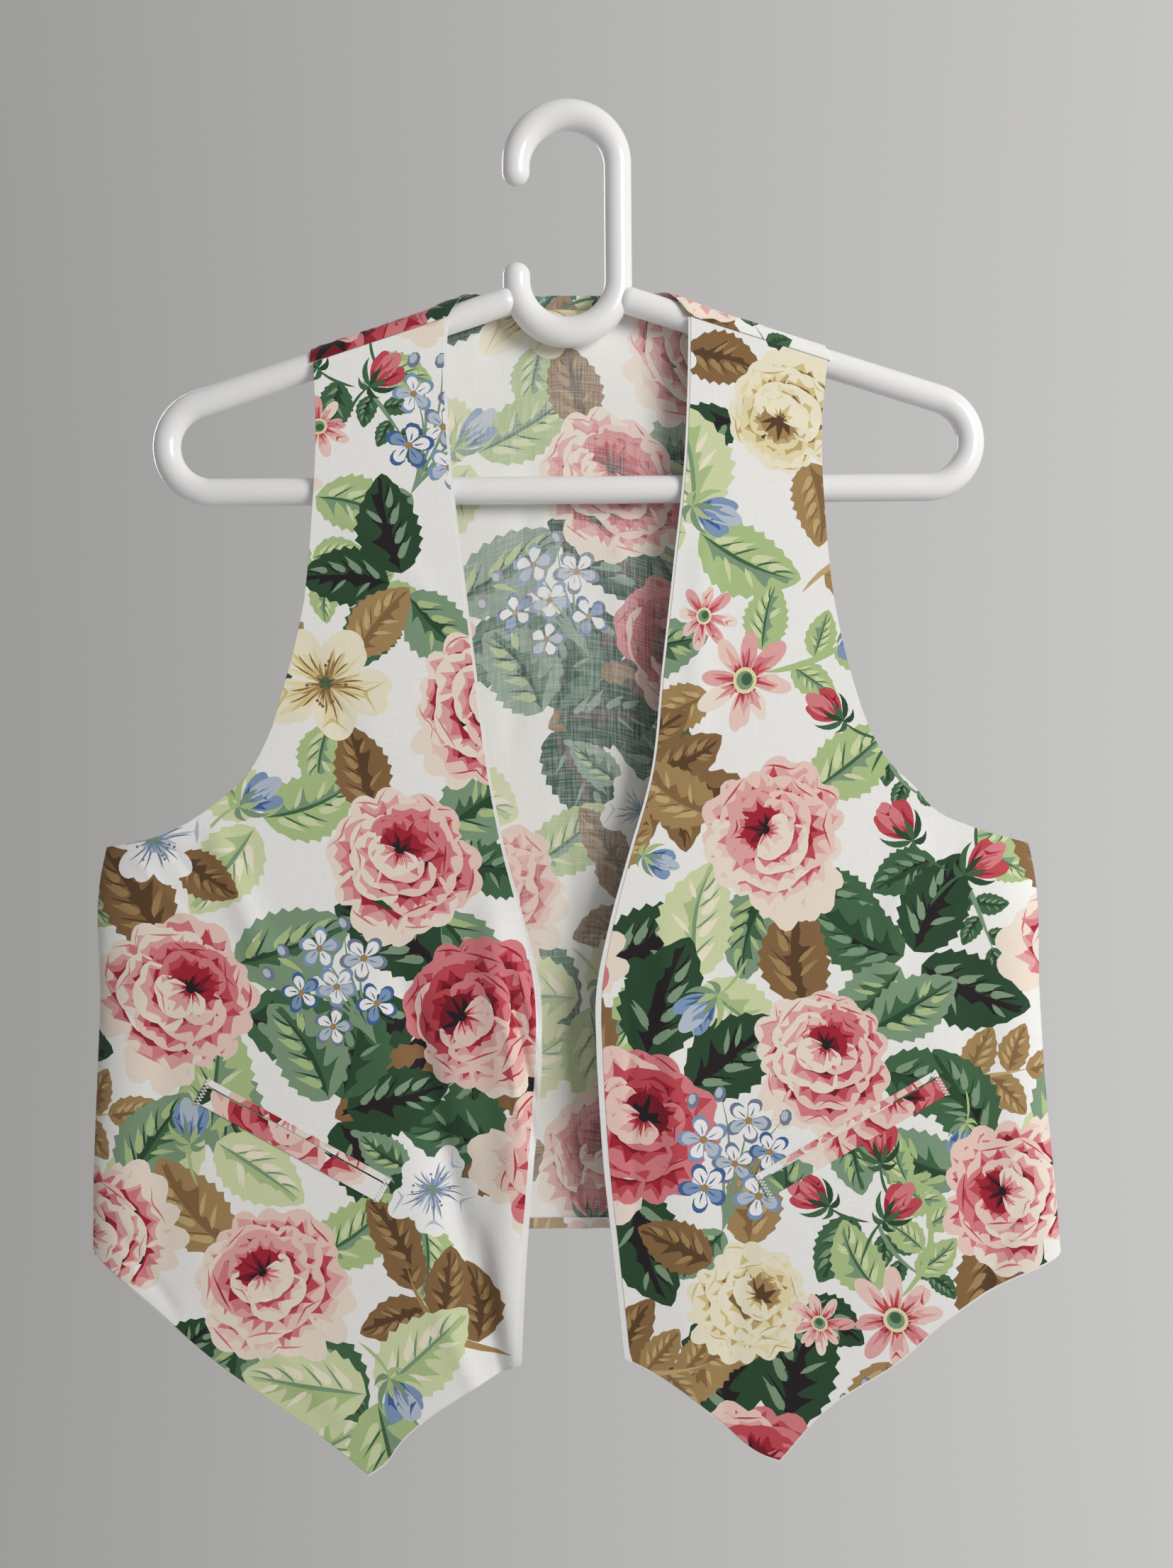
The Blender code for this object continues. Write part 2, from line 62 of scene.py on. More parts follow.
# Cloth: the solids' middle surfaces
PRINT = 0.0012
EASE = 0.0004
BACK_RIDE = TUBE / 2 + EASE + PRINT / 2
SEAM_HALF = 0.0002
SHOULDER_SEAM_DROP = 0.0008
SIDE_ROUND = 0.030
NECK_X = 0.0613
CROSSING_X = 0.050
NECK_FADE = 0.013
NECK_LIFT = 0.0013
NECK_STANDOFF = 0.0011
SETTLING_LENGTH = 0.05
FACING_DEPTH = 0.0067
FACING_END = 0.046
HEM_TURN = 0.0056
BACK_ARMHOLE_PROUD = 0.002
PROUD_END_Z = -0.365
PROUD_FADE = 0.05
FOLD_FADE_IN = 0.3
FOLD_FADE_OUT = 0.25
SAMPLES = 120

# Pockets
POCKET_LENGTH = 0.107
LIP_DEPTH = 0.0033
SLIT = 0.0008
WELT_DEPTH = 0.0098
TACK_STITCHES = 17
TACK_WIDTH = 0.0026
TACK_OVERHANG = 0.0004
THREAD_RADIUS = 0.00024
THREAD_SIDES = 6

# Cloth walls, as offsets from the solids' middle surfaces towards the outside
PRINT_OUTER = 0.0006
PRINT_INNER = 0.0001
LINING_OUTER = 0.0000
LINING_INNER = -0.0012
STRIP_OUTER = 0.0016
STRIP_INNER = 0.0009
INSIDE_OUTER = -0.0004
INSIDE_INNER = -0.0012
# How far the faces of a wall round away at its edge
PRINT_ROUNDING = 0.0004
LINING_ROUNDING = 0.0005
STRIP_ROUNDING = 0.0005
INSIDE_ROUNDING = 0.0003

# Points of the flat cloth: rows beside its edge, grids, and rows along each crease in its half widths
EDGE_ROWS = (0.00015, 0.0004, 0.0008, 0.0013)
GRID = 0.005
BACK_GRID = 0.006
STRIP_GRID = 0.003
CREASE_STEP = 0.003
CREASE_ROWS = (-1.6, -1.0, -0.5, 0.0, 0.5, 1.0, 1.6)
CUT_EPSILON = 2e-6
SAME_POINT = 1e-5


def table(columns, *rows):
    """A table with a name for each column."""
    return dict(zip(columns.split(), np.array(rows, dtype=float).T))


def both_sides(*rows):
    """An outline on both sides, as half widths from the middle and heights."""
    return table("right_x right_z left_x left_z", *rows)


def fold_lines(*rows):
    """Folds: a line from its upper to its lower end, half width, and height away from the hanger."""
    return table("upper_x upper_z lower_x lower_z width height", *rows)


HANG = table(
    "z front back",
    (-0.710, 0.0092, 0.0086),
    (-0.600, 0.0110, 0.0090),
    (-0.500, 0.0126, 0.0106),
    (-0.400, 0.0122, 0.0104),
    (-0.300, 0.0108, 0.0094),
    (-0.190, 0.0098, 0.0087),
    (-0.100, 0.0096, 0.0082),
)

# Outline of each front, lining included
ARMHOLE = both_sides(
    (0.1305, -0.1215, 0.1330, -0.1225),
    (0.1296, -0.1556, 0.1301, -0.1531),
    (0.1317, -0.1966, 0.1312, -0.1990),
    (0.1372, -0.2489, 0.1363, -0.2487),
    (0.1469, -0.2877, 0.1450, -0.2865),
    (0.1550, -0.3130, 0.1551, -0.3149),
    (0.1668, -0.3335, 0.1633, -0.3284),
    (0.1793, -0.3445, 0.1756, -0.3405),
    (0.1925, -0.3542, 0.1853, -0.3519),
    (0.2085, -0.3624, 0.2070, -0.3622),
    (0.2400, -0.3691, 0.2360, -0.3704),
)
SIDE = both_sides(
    (0.2400, -0.3691, 0.2360, -0.3704),
    (0.2434, -0.3850, 0.2388, -0.3850),
    (0.2440, -0.4490, 0.2412, -0.4490),
    (0.2462, -0.4980, 0.2440, -0.4980),
    (0.2480, -0.5400, 0.2485, -0.5480),
    (0.2486, -0.5780, 0.2513, -0.5830),
)
HEM_OUTER = both_sides(
    (0.2486, -0.5780, 0.2513, -0.5830),
    (0.2154, -0.6057, 0.2195, -0.5965),
    (0.1861, -0.6321, 0.1899, -0.6152),
    (0.1572, -0.6534, 0.1673, -0.6350),
    (0.1316, -0.6714, 0.1282, -0.6605),
    (0.1064, -0.6925, 0.1045, -0.6866),
)
HEM_INNER = both_sides(
    (0.1064, -0.6925, 0.1045, -0.6866),
    (0.0990, -0.6876, 0.0965, -0.6838),
    (0.0880, -0.6738, 0.0730, -0.6649),
    (0.0763, -0.6638, 0.0567, -0.6517),
    (0.0566, -0.6508, 0.0408, -0.6410),
    (0.0274, -0.6350, 0.0252, -0.6330),
)
FRONT_EDGE = both_sides(
    (0.0613, -0.0985, 0.0620, -0.0987),
    (0.0622, -0.1285, 0.0613, -0.1305),
    (0.0600, -0.1760, 0.0590, -0.1760),
    (0.0549, -0.2215, 0.0537, -0.2223),
    (0.0488, -0.2739, 0.0471, -0.2786),
    (0.0409, -0.3357, 0.0405, -0.3348),
    (0.0339, -0.3720, 0.0293, -0.3736),
    (0.0243, -0.4084, 0.0193, -0.4091),
    (0.0162, -0.4448, 0.0121, -0.4450),
    (0.0158, -0.4811, 0.0122, -0.4814),
    (0.0201, -0.5320, 0.0151, -0.5322),
    (0.0241, -0.5788, 0.0200, -0.5800),
    (0.0274, -0.6350, 0.0252, -0.6330),
)
# Row of the front edge where its slant ends
EDGE_ROW = 9
# White lining that shows past the printed cloth along the front edge
ROLLED_EDGE = table(
    "z width",
    (-0.640, 0.0032),
    (-0.450, 0.0032),
    (-0.390, 0.0018),
    (-0.330, 0.0014),
    (-0.100, 0.0014),
)
HEM_ROLL = 0.0012

# Neck edge of the back, as an angle round the arm's tube from its ridge towards the back
NECK_EDGE = table(
    "x angle",
    (0, 88),
    (0.015, 82),
    (0.030, 64),
    (0.040, 43),
    (0.045, 27),
    (CROSSING_X, 0),
    (0.053, -22),
    (0.056, -44),
    (0.0587, -67),
    (NECK_X, -90),
)
BACK_HEM = table("x z", (0, -0.5700), (0.12, -0.5705), (0.19, -0.5730), (0.23, -0.5775), (0.26, -0.5820))

# Soft folds, as the solids have them
FOLDS = {
    "right": fold_lines(
        (-0.094, -0.400, -0.036, -0.672, 0.012, -0.0042),
        (-0.043, -0.380, -0.030, -0.520, 0.010, 0.0042),
        (-0.030, -0.500, -0.038, -0.655, 0.010, 0.0030),
        (-0.186, -0.352, -0.160, -0.420, 0.007, 0.0022),
        (-0.205, -0.420, -0.215, -0.580, 0.014, -0.0018),
    ),
    "left": fold_lines(
        (0.052, -0.370, 0.060, -0.660, 0.016, 0.0016),
        (0.205, -0.400, 0.213, -0.590, 0.014, -0.0020),
        (0.180, -0.350, 0.160, -0.430, 0.008, 0.0014),
    ),
    "back": fold_lines(
        (-0.100, -0.190, -0.128, -0.600, 0.016, 0.0026),
        (-0.040, -0.330, -0.052, -0.600, 0.014, -0.0020),
        (0.058, -0.280, 0.066, -0.600, 0.015, 0.0022),
        (0.118, -0.200, 0.150, -0.600, 0.016, 0.0030),
        (0.196, -0.370, 0.186, -0.590, 0.012, -0.0018),
    ),
}
# Fine creases, which the solids lack: crumpled cloth beside the wearer's right edge, puckers at the
# underarm corners, strain at the shoulders, and the settling of the back
CREASES = {
    "right": fold_lines(
        (-0.0360, -0.428, -0.0215, -0.492, 0.0026, -0.0025),
        (-0.0300, -0.422, -0.0190, -0.466, 0.0022, 0.0016),
        (-0.0270, -0.470, -0.0205, -0.522, 0.0028, -0.0022),
        (-0.0350, -0.452, -0.0270, -0.508, 0.0024, 0.0016),
        (-0.0500, -0.556, -0.0370, -0.640, 0.0045, -0.0027),
        (-0.0720, -0.600, -0.0480, -0.655, 0.0055, 0.0016),
        (-0.0920, -0.415, -0.0400, -0.640, 0.0065, -0.0022),
        (-0.2260, -0.371, -0.2000, -0.402, 0.0030, 0.0006),
        (-0.2080, -0.364, -0.1880, -0.392, 0.0030, -0.0006),
        (-0.2400, -0.556, -0.2080, -0.602, 0.0040, -0.0008),
        (-0.1650, -0.618, -0.1180, -0.662, 0.0060, 0.0007),
        (-0.1260, -0.142, -0.0740, -0.152, 0.0040, 0.0005),
        (-0.1220, -0.196, -0.0780, -0.232, 0.0060, 0.0007),
        (-0.1420, -0.255, -0.1060, -0.330, 0.0080, -0.0009),
    ),
    "left": fold_lines(
        (0.2200, -0.371, 0.1960, -0.404, 0.0030, 0.0006),
        (0.2020, -0.364, 0.1860, -0.390, 0.0030, -0.0005),
        (0.0460, -0.398, 0.0520, -0.524, 0.0060, 0.0010),
        (0.0280, -0.432, 0.0310, -0.545, 0.0030, -0.0007),
        (0.0900, -0.560, 0.0760, -0.656, 0.0060, -0.0008),
        (0.1640, -0.600, 0.1180, -0.632, 0.0060, 0.0006),
        (0.0840, -0.140, 0.1220, -0.158, 0.0050, 0.0006),
        (0.0700, -0.200, 0.0640, -0.300, 0.0070, 0.0009),
        (0.2320, -0.545, 0.2120, -0.596, 0.0040, -0.0007),
    ),
    "back": fold_lines(
        (-0.020, -0.150, -0.030, -0.300, 0.0060, 0.0008),
        (0.030, -0.170, 0.022, -0.340, 0.0070, -0.0009),
        (-0.006, -0.330, 0.004, -0.470, 0.0060, 0.0008),
        (0.016, -0.440, 0.006, -0.562, 0.0050, -0.0007),
        (-0.190, -0.380, -0.150, -0.460, 0.0080, 0.0010),
        (0.190, -0.380, 0.140, -0.470, 0.0090, -0.0010),
        (-0.090, -0.400, -0.070, -0.540, 0.0070, 0.0009),
        (0.090, -0.390, 0.104, -0.550, 0.0080, 0.0009),
    ),
}
# Outer end of each pocket as half width and height, and its slant in degrees
POCKET = {"right": (0.1885, -0.4905, 29.2), "left": (0.1872, -0.4890, 29.8)}

# Camera: 1 m in front, level, with the photograph's scale and its slight turn
PHOTO_WIDTH, PHOTO_HEIGHT = 1655, 2212
MM_PER_PIXEL = 0.3669
CAMERA_DISTANCE = 1.0
CAMERA_TURN = np.radians(0.42)
ORIGIN_PIXEL = (799.0, 184.4)

FLOOR_RADIUS = 5.5
FLOOR_SIDES = 64
FLOOR_Z = -3.2


def ease(value):
    """Smooth step from 0 to 1."""
    value = np.clip(value, 0, 1)
    return value * value * (3 - 2 * value)


def edge_points(columns, side):
    """The points of an outline table for one side, as x and z."""
    return np.stack([SIGN[side] * columns[side + "_x"], columns[side + "_z"]], axis=1)


def along(points, shares):
    """Points at these shares of the length of a smooth curve (cubic Hermite) through the given points."""
    points = np.asarray(points, dtype=float)
    reach = np.concatenate([[0], np.cumsum(np.linalg.norm(np.diff(points, axis=0), axis=1))])
    slopes = np.gradient(points, reach, axis=0)
    at = np.asarray(shares) * reach[-1]
    piece = np.clip(np.searchsorted(reach, at, side="right") - 1, 0, len(reach) - 2)
    length = (reach[piece + 1] - reach[piece])[:, None]
    t = (at - reach[piece])[:, None] / length
    start, end = points[piece], points[piece + 1]
    leave, arrive = slopes[piece] * length, slopes[piece + 1] * length
    return (
        start * (2 * t**3 - 3 * t**2 + 1)
        + leave * (t**3 - 2 * t**2 + t)
        + end * (3 * t**2 - 2 * t**3)
        + arrive * (t**3 - t**2)
    )


def joined(*curves):
    """Curves end to end, each without the first point that it shares with the one before."""
    return np.concatenate([curves[0]] + [curve[1:] for curve in curves[1:]])


def smooth_column(x_column, y_column):
    """A column of a table as a smooth curve, ready for np.interp, in rising order."""
    curve = along(np.stack([x_column, y_column], axis=1), np.linspace(0, 1, SAMPLES))
    return curve[:, 0], curve[:, 1]


HANG_CURVES = {face: smooth_column(HANG["z"], HANG[face]) for face in ("front", "back")}
SEAMS = {side: along(edge_points(SIDE, side), np.linspace(0, 1, SAMPLES)) for side in SIGN}


def side_half_width(x, z):
    """Half width at the side seams, the right one where x is negative."""
    halves = [np.interp(-z, -SEAMS[side][:, 1], np.abs(SEAMS[side][:, 0])) for side in ("right", "left")]
    return np.where(x < 0, halves[0], halves[1])


def side_round(x, z):
    """1 over the panel, falling along a quarter circle to 0 at the side seam."""
    inside = np.clip((side_half_width(x, z) - np.abs(x)) / SIDE_ROUND, 0, 1)
    return np.sqrt(1 - (1 - inside) ** 2)


def fold_height(x, z, folds):
    """Soft troughs and ridges: bell-shaped across their line, fading in at both ends."""
    total = np.zeros_like(x)
    for i in range(len(folds["width"])):
        start = np.array([folds["upper_x"][i], folds["upper_z"][i]])
        run = np.array([folds["lower_x"][i], folds["lower_z"][i]]) - start
        length = np.hypot(*run)
        share = ((x - start[0]) * run[0] + (z - start[1]) * run[1]) / length**2
        off = ((x - start[0]) * run[1] - (z - start[1]) * run[0]) / length
        fade = ease(share / FOLD_FADE_IN) * ease((1 + FOLD_FADE_OUT - share) / FOLD_FADE_OUT)
        total = total + folds["height"][i] * fade * np.exp(-((off / folds["width"][i]) ** 2))
    return total


def arm_drop():
    """Slope of the arms: the straight line from the centre of the U that touches the end loop."""
    across = HANGER_WIDTH / 2 - TUBE / 2 - LOOP_RADIUS
    down = BAR_DROP - LOOP_RADIUS - u_drop()
    return np.arctan2(down, across) - np.arcsin(LOOP_RADIUS / np.hypot(across, down))


def top_drop():
    """Depth of the centre of the hook's top arc below the origin."""
    return HOOK_RADIUS - HOOK_TUBE / 2


def u_drop():
    """Depth of the centre of the U at the hook's foot below the origin."""
    return top_drop() + HOOK_LENGTH


def arm_height(x):
    """Height of the arms' centre line, rounded off between the arms."""
    reach = np.abs(x)
    run = np.where(reach > ARM_ROOT, reach, (ARM_ROOT + reach**2 / ARM_ROOT) / 2)
    return -u_drop() - np.tan(arm_drop()) * run


def front_surface(side):
    """Middle surface of a front: its hang and folds, times the rounding at the side seam."""

    def place(x, z):
        hang = np.interp(z, *HANG_CURVES["front"]) + fold_height(x, z, FOLDS[side])
        hang = hang + fold_height(x, z, CREASES[side])
        return np.stack([x, -SEAM_HALF - hang * side_round(x, z), z], axis=-1)

    return place


def neck_share(x):
    """1 at the back of the neck, falling to 0 just past the neck end of the shoulder seam."""
    return ease((NECK_X + NECK_FADE - np.abs(x)) / NECK_FADE)


def quarter_turn():
    """Length of cloth over a quarter of the arm's tube."""
    return BACK_RIDE * np.pi / 2


def back_surface(x, v):
    """Middle surface of the back. v is minus the length of cloth from the ridge over the arm: a
    quarter circle round the tube, then straight down, settling into its hang and folds."""
    lift = NECK_LIFT * neck_share(x)
    rise = (BACK_RIDE + lift) / np.cos(arm_drop())
    reach = BACK_RIDE + lift + NECK_STANDOFF * ease((CROSSING_X - np.abs(x)) / NECK_FADE)
    quarter = quarter_turn()
    angle = np.clip(-v / quarter, -1, 1) * np.pi / 2
    z = arm_height(x) + rise * np.cos(angle) - np.clip(-v - quarter, 0, None)
    hang = np.interp(z, *HANG_CURVES["back"]) + fold_height(x, z, FOLDS["back"])
    hang = hang + fold_height(x, z, CREASES["back"])
    settled = ease((-v - quarter) / SETTLING_LENGTH)
    behind = reach * np.sin(angle) * (1 - settled) + (SEAM_HALF + hang * side_round(x, z)) * settled
    return np.stack([x, behind, z], axis=-1)


def neck_start(x):
    """Where the back's top edge lies: the neck edge, then the shoulder seam in front of the tube."""
    return np.interp(np.abs(x), NECK_EDGE["x"], NECK_EDGE["angle"]) / 90 * quarter_turn()


def back_v(x, z):
    """The back's own length coordinate at a height below the arms."""
    return z - arm_height(x) - quarter_turn()


def front_curves(side):
    """Edges of a front as smooth curves: shoulder, armhole and side, hem, front edge."""
    fine = np.linspace(0, 1, 60)
    outer = joined(along(edge_points(ARMHOLE, side), fine), along(edge_points(SIDE, side), fine[::2]))
    edge = edge_points(FRONT_EDGE, side)
    inner = joined(along(edge[: EDGE_ROW + 1], fine), along(edge[EDGE_ROW:], fine[::2]))
    bottom = joined(along(edge_points(HEM_OUTER, side), fine), along(edge_points(HEM_INNER, side), fine))
    seam_x = np.linspace(outer[0, 0], inner[0, 0], 24)
    top = np.stack([seam_x, arm_height(seam_x) - SHOULDER_SEAM_DROP], axis=1)
    outer[0], inner[0] = top[0], top[-1]
    return top, outer, bottom, inner


def front_outlines(side):
    """Loops round the printed cloth of a front and round its lining, which shows past two edges."""
    top, outer, bottom, inner = front_curves(side)
    bands = np.interp(inner[:, 1], ROLLED_EDGE["z"], ROLLED_EDGE["width"])
    print_inner = inner + np.stack([SIGN[side] * bands, 0 * bands], axis=1)
    print_bottom = bottom + (0, HEM_ROLL)
    inside = SIGN[side] * (print_bottom[:, 0] - print_inner[-1, 0]) > 0
    print_bottom = np.concatenate([print_bottom[inside], print_inner[-1:] + (0, HEM_ROLL)])
    print_outer = outer[outer[:, 1] > print_bottom[0, 1]]
    print_top = top[SIGN[side] * (top[:, 0] - print_inner[0, 0]) > 0]
    printed = [print_top[::-1], print_outer, print_bottom, print_inner[-2::-1]]
    whole = [top[::-1], outer, bottom, inner[::-1]]
    return loop(printed), loop(whole)


def loop(curves):
    """One closed loop of points, without repeats, that runs anticlockwise."""
    points = np.concatenate(curves)
    far = np.linalg.norm(points - np.roll(points, 1, axis=0), axis=1) > SAME_POINT
    points = points[far]
    ahead = np.roll(points, -1, axis=0)
    area = (points[:, 0] * ahead[:, 1] - points[:, 1] * ahead[:, 0]).sum()
    return points if area > 0 else points[::-1]


def inset(points, depth):
    """A closed loop moved inwards by a depth, along the mean normal at each point."""
    ahead = np.roll(points, -1, axis=0) - points
    ahead /= np.linalg.norm(ahead, axis=1, keepdims=True)
    mean = ahead + np.roll(ahead, 1, axis=0)
    mean /= np.linalg.norm(mean, axis=1, keepdims=True)
    return points + depth * np.stack([-mean[:, 1], mean[:, 0]], axis=1)


def distance_to(points, curve):
    """Distance of each point from a run of straight pieces."""
    start, run = curve[:-1], np.diff(curve, axis=0)
    nearest = np.full(len(points), np.inf)
    for first in range(0, len(points), 4000):
        part = points[first : first + 4000, None]
        share = np.clip(((part - start) * run).sum(axis=2) / (run**2).sum(axis=1), 0, 1)
        gap = np.linalg.norm(part - start - share[..., None] * run, axis=2)
        nearest[first : first + 4000] = gap.min(axis=1)
    return nearest


def grid_marks(outline, step):
    """Points on a staggered grid over the box of an outline."""
    low, high = outline.min(axis=0), outline.max(axis=0)
    across, up = np.meshgrid(np.arange(low[0], high[0], step), np.arange(low[1], high[1], step * 0.866))
    across = across + step / 2 * (np.arange(across.shape[0])[:, None] % 2)
    return np.stack([across.ravel(), up.ravel()], axis=1)


def crease_marks(creases):
    """Points in rows along each crease and beside it, so that the cloth can bend there."""
    rows = []
    for i in range(len(creases["width"])):
        start = np.array([creases["upper_x"][i], creases["upper_z"][i]])
        run = np.array([creases["lower_x"][i], creases["lower_z"][i]]) - start
        length = np.hypot(*run)
        aside = np.array([-run[1], run[0]]) / length * creases["width"][i]
        steps = np.linspace(-0.05, 1.2, int(length / CREASE_STEP))[:, None]
        rows += [start + run * steps + aside * share for share in CREASE_ROWS]
    return np.concatenate(rows)


def triangulate(points, edges):
    """Triangles between points that keep to the given edges, which may cross."""
    found = delaunay_2d_cdt(points.tolist(), edges.tolist(), [], 0, CUT_EPSILON)
    return np.array([tuple(p) for p in found[0]]), np.array(found[2])


def closed_runs(loops):
    """The points of closed loops, and the edges round each as pairs of point numbers."""
    sizes = np.array([len(points) for points in loops])
    starts = np.cumsum(sizes) - sizes
    here = np.arange(sizes.sum())
    after = here + 1
    after[starts + sizes - 1] = starts
    return np.concatenate(loops), np.stack([here, after], axis=1)


def inked(points, triangles, outline, shapes):
    """The triangles inside an outline, and the ink of each: the last shape drawn over its middle."""
    middle = points[triangles].mean(axis=1)
    kept = within(middle, outline)
    triangles, middle = triangles[kept], middle[kept]
    order = np.argsort(middle[:, 0])
    sorted_x = middle[order, 0]
    ink = np.zeros(len(triangles), dtype=int)
    for shape_ink, shape in shapes:
        low, high = shape.min(axis=0), shape.max(axis=0)
        first, last = np.searchsorted(sorted_x, (low[0], high[0]))
        close = order[first:last]
        close = close[(middle[close, 1] > low[1]) & (middle[close, 1] < high[1])]
        ink[close[within(middle[close], shape)]] = shape_ink
    return triangles, ink


def ink_borders(triangles, ink):
    """Edges with another ink, or nothing, on their far side, as pairs of point numbers."""
    edges = np.concatenate([triangles[:, [0, 1]], triangles[:, [1, 2]], triangles[:, [2, 0]]])
    inks = np.tile(ink, 3)
    edges.sort(axis=1)
    order = np.lexsort((edges[:, 1], edges[:, 0]))
    edges, inks = edges[order], inks[order]
    same = (edges[1:] == edges[:-1]).all(axis=1)
    paired = np.concatenate([same, [False]]) | np.concatenate([[False], same])
    differ = np.concatenate([same & (inks[1:] != inks[:-1]), [False]])
    return edges[differ | ~paired]


def straighten(points, edges, slack):
    """Edges without the points that lie within the slack of the line between their only two
    neighbours. Points next to each other don't both go in one pass."""
    for _ in range(4):
        both = np.concatenate([edges, edges[:, ::-1]])
        both = both[np.argsort(both[:, 0], kind="stable")]
        number, first, count = np.unique(both[:, 0], return_index=True, return_counts=True)
        number, first = number[count == 2], first[count == 2]
        before, after = both[first, 1], both[first + 1, 1]
        run, away = points[after] - points[before], points[number] - points[before]
        off = np.abs(away[:, 0] * run[:, 1] - away[:, 1] * run[:, 0]) / (np.linalg.norm(run, axis=1) + 1e-9)
        needless = np.zeros(len(points), dtype=bool)
        needless[number[off < slack]] = True
        beaten = needless[before] & (before < number) | needless[after] & (after < number)
        going = needless[number] & ~beaten
        gone = np.zeros(len(points), dtype=bool)
        gone[number[going]] = True
        bridges = np.stack([before[going], after[going]], axis=1)
        edges = np.concatenate([edges[~gone[edges].any(axis=1)], bridges])
        edges = edges[edges[:, 0] != edges[:, 1]]
    return edges


def cut(outline, shapes, marks, slack=0.0):
    """Triangles of a flat piece of cloth that follow the edges of its print, and the ink of each.
    The first triangles follow every shape; the second only the borders that show."""
    points, triangles = triangulate(*closed_runs([outline] + [points for _, points in shapes]))
    triangles, ink = inked(points, triangles, outline, shapes)
    edges = straighten(points, ink_borders(triangles, ink), slack)
    used, edges = np.unique(edges, return_inverse=True)
    row_points, row_edges = closed_runs([inset(outline, depth) for depth in EDGE_ROWS])
    edges = np.concatenate([edges.reshape(-1, 2), row_edges + len(used)])
    points, triangles = triangulate(np.concatenate([points[used], row_points, marks]), edges)
    triangles, ink = inked(points, triangles, outline, shapes)
    used, triangles = np.unique(triangles, return_inverse=True)
    return points[used], triangles.reshape(-1, 3), ink


def within(points, outline):
    """Whether points lie within a closed loop: the loop winds round them."""
    start, end = outline, np.roll(outline, -1, axis=0)
    winding = np.zeros(len(points), dtype=int)
    for first in range(0, len(points), 20000):
        x, y = points[first : first + 20000, :1], points[first : first + 20000, 1:]
        left = (end[:, 0] - start[:, 0]) * (y - start[:, 1]) - (x - start[:, 0]) * (end[:, 1] - start[:, 1])
        upward = (start[:, 1] <= y) & (end[:, 1] > y) & (left > 0)
        downward = (start[:, 1] > y) & (end[:, 1] <= y) & (left < 0)
        winding[first : first + 20000] = upward.sum(axis=1) - downward.sum(axis=1)
    return winding != 0


def normals_of(place, flat):
    """Unit normals of a surface at flat points, from small steps both ways."""
    step = 1e-4
    x, v = flat[:, 0], flat[:, 1]
    across = place(x + step, v) - place(x - step, v)
    up = place(x, v + step) - place(x, v - step)
    normal = np.cross(across, up)
    return normal / np.linalg.norm(normal, axis=1, keepdims=True)


def edges_round(triangles):
    """The directed edges that only one triangle has."""
    edges = np.concatenate([triangles[:, [0, 1]], triangles[:, [1, 2]], triangles[:, [2, 0]]])
    key = edges.min(axis=1) * (triangles.max() + 1) + edges.max(axis=1)
    _, first, counts = np.unique(key, return_index=True, return_counts=True)
    return edges[first[counts == 1]]


def mesh_object(name, points, faces, materials, face_material=None):
    """An object at the origin, with its place in its mesh, shaded smooth."""
    mesh = bpy.data.meshes.new(name)
    mesh.from_pydata(points.tolist(), [], faces.tolist() if isinstance(faces, np.ndarray) else faces)
    for material in materials:
        mesh.materials.append(material)
    if face_material is not None:
        mesh.polygons.foreach_set("material_index", np.asarray(face_material, dtype=np.int32))
    mesh.shade_smooth()
    made = bpy.data.objects.new(name, mesh)
    bpy.context.scene.collection.objects.link(made)
    return made


def sew(name, cloth, place, outer, inner, materials, facing=1.0):
    """A flat piece carried onto its surface as a closed wall: a face on each side and a rim between.
    outer and inner are offsets along the surface's outward side, in metres."""
    flat, triangles, ink = cloth
    middle = place(flat[:, 0], flat[:, 1])
    normal = facing * normals_of(place, flat)
    count = len(flat)
    points = np.concatenate([middle + normal * outer[:, None], middle + normal * inner[:, None]])
    start, end = edges_round(triangles).T
    front, back = triangles, triangles[:, ::-1] + count
    rim = np.concatenate(
        [np.stack([end, start, start + count], axis=1), np.stack([end, start + count, end + count], axis=1)]
    )
    faces = np.concatenate([front, back, rim])
    if facing < 0:
        faces = faces[:, ::-1]
    which = np.concatenate([np.zeros(len(front)), np.ones(len(back)), np.zeros(len(rim))])
    made = mesh_object(name, points, faces, materials, which)
    away = facing * np.cross(middle[end] - middle[start], normal[start])
    away /= np.linalg.norm(away, axis=1, keepdims=True)
    lean = np.zeros_like(middle)
    np.add.at(lean, start, away / 2)
    np.add.at(lean, end, away / 2)
    facings = np.concatenate([normal + lean, lean - normal])
    made.data.normals_split_custom_set_from_vertices(facings.tolist())
    shade = np.concatenate([INK_TABLE[ink], BEHIND_TABLE[ink], np.tile(INK_TABLE[0], (len(rim), 1))])
    colours = made.data.color_attributes.new("ink", "FLOAT_COLOR", "CORNER")
    colours.data.foreach_set("color", np.repeat(shade, 3, axis=0).ravel())
    uv = made.data.uv_layers.new(name="cloth")
    uv.data.foreach_set("uv", np.concatenate([flat, flat])[faces.ravel()].ravel())
    return made


def linear(colour):
    """An sRGB hex colour as linear light, with alpha."""
    value = np.array([int(colour[i : i + 2], 16) for i in (1, 3, 5)]) / 255
    light = np.where(value <= 0.04045, value / 12.92, ((value + 0.055) / 1.055) ** 2.4)
    return (*light, 1.0)


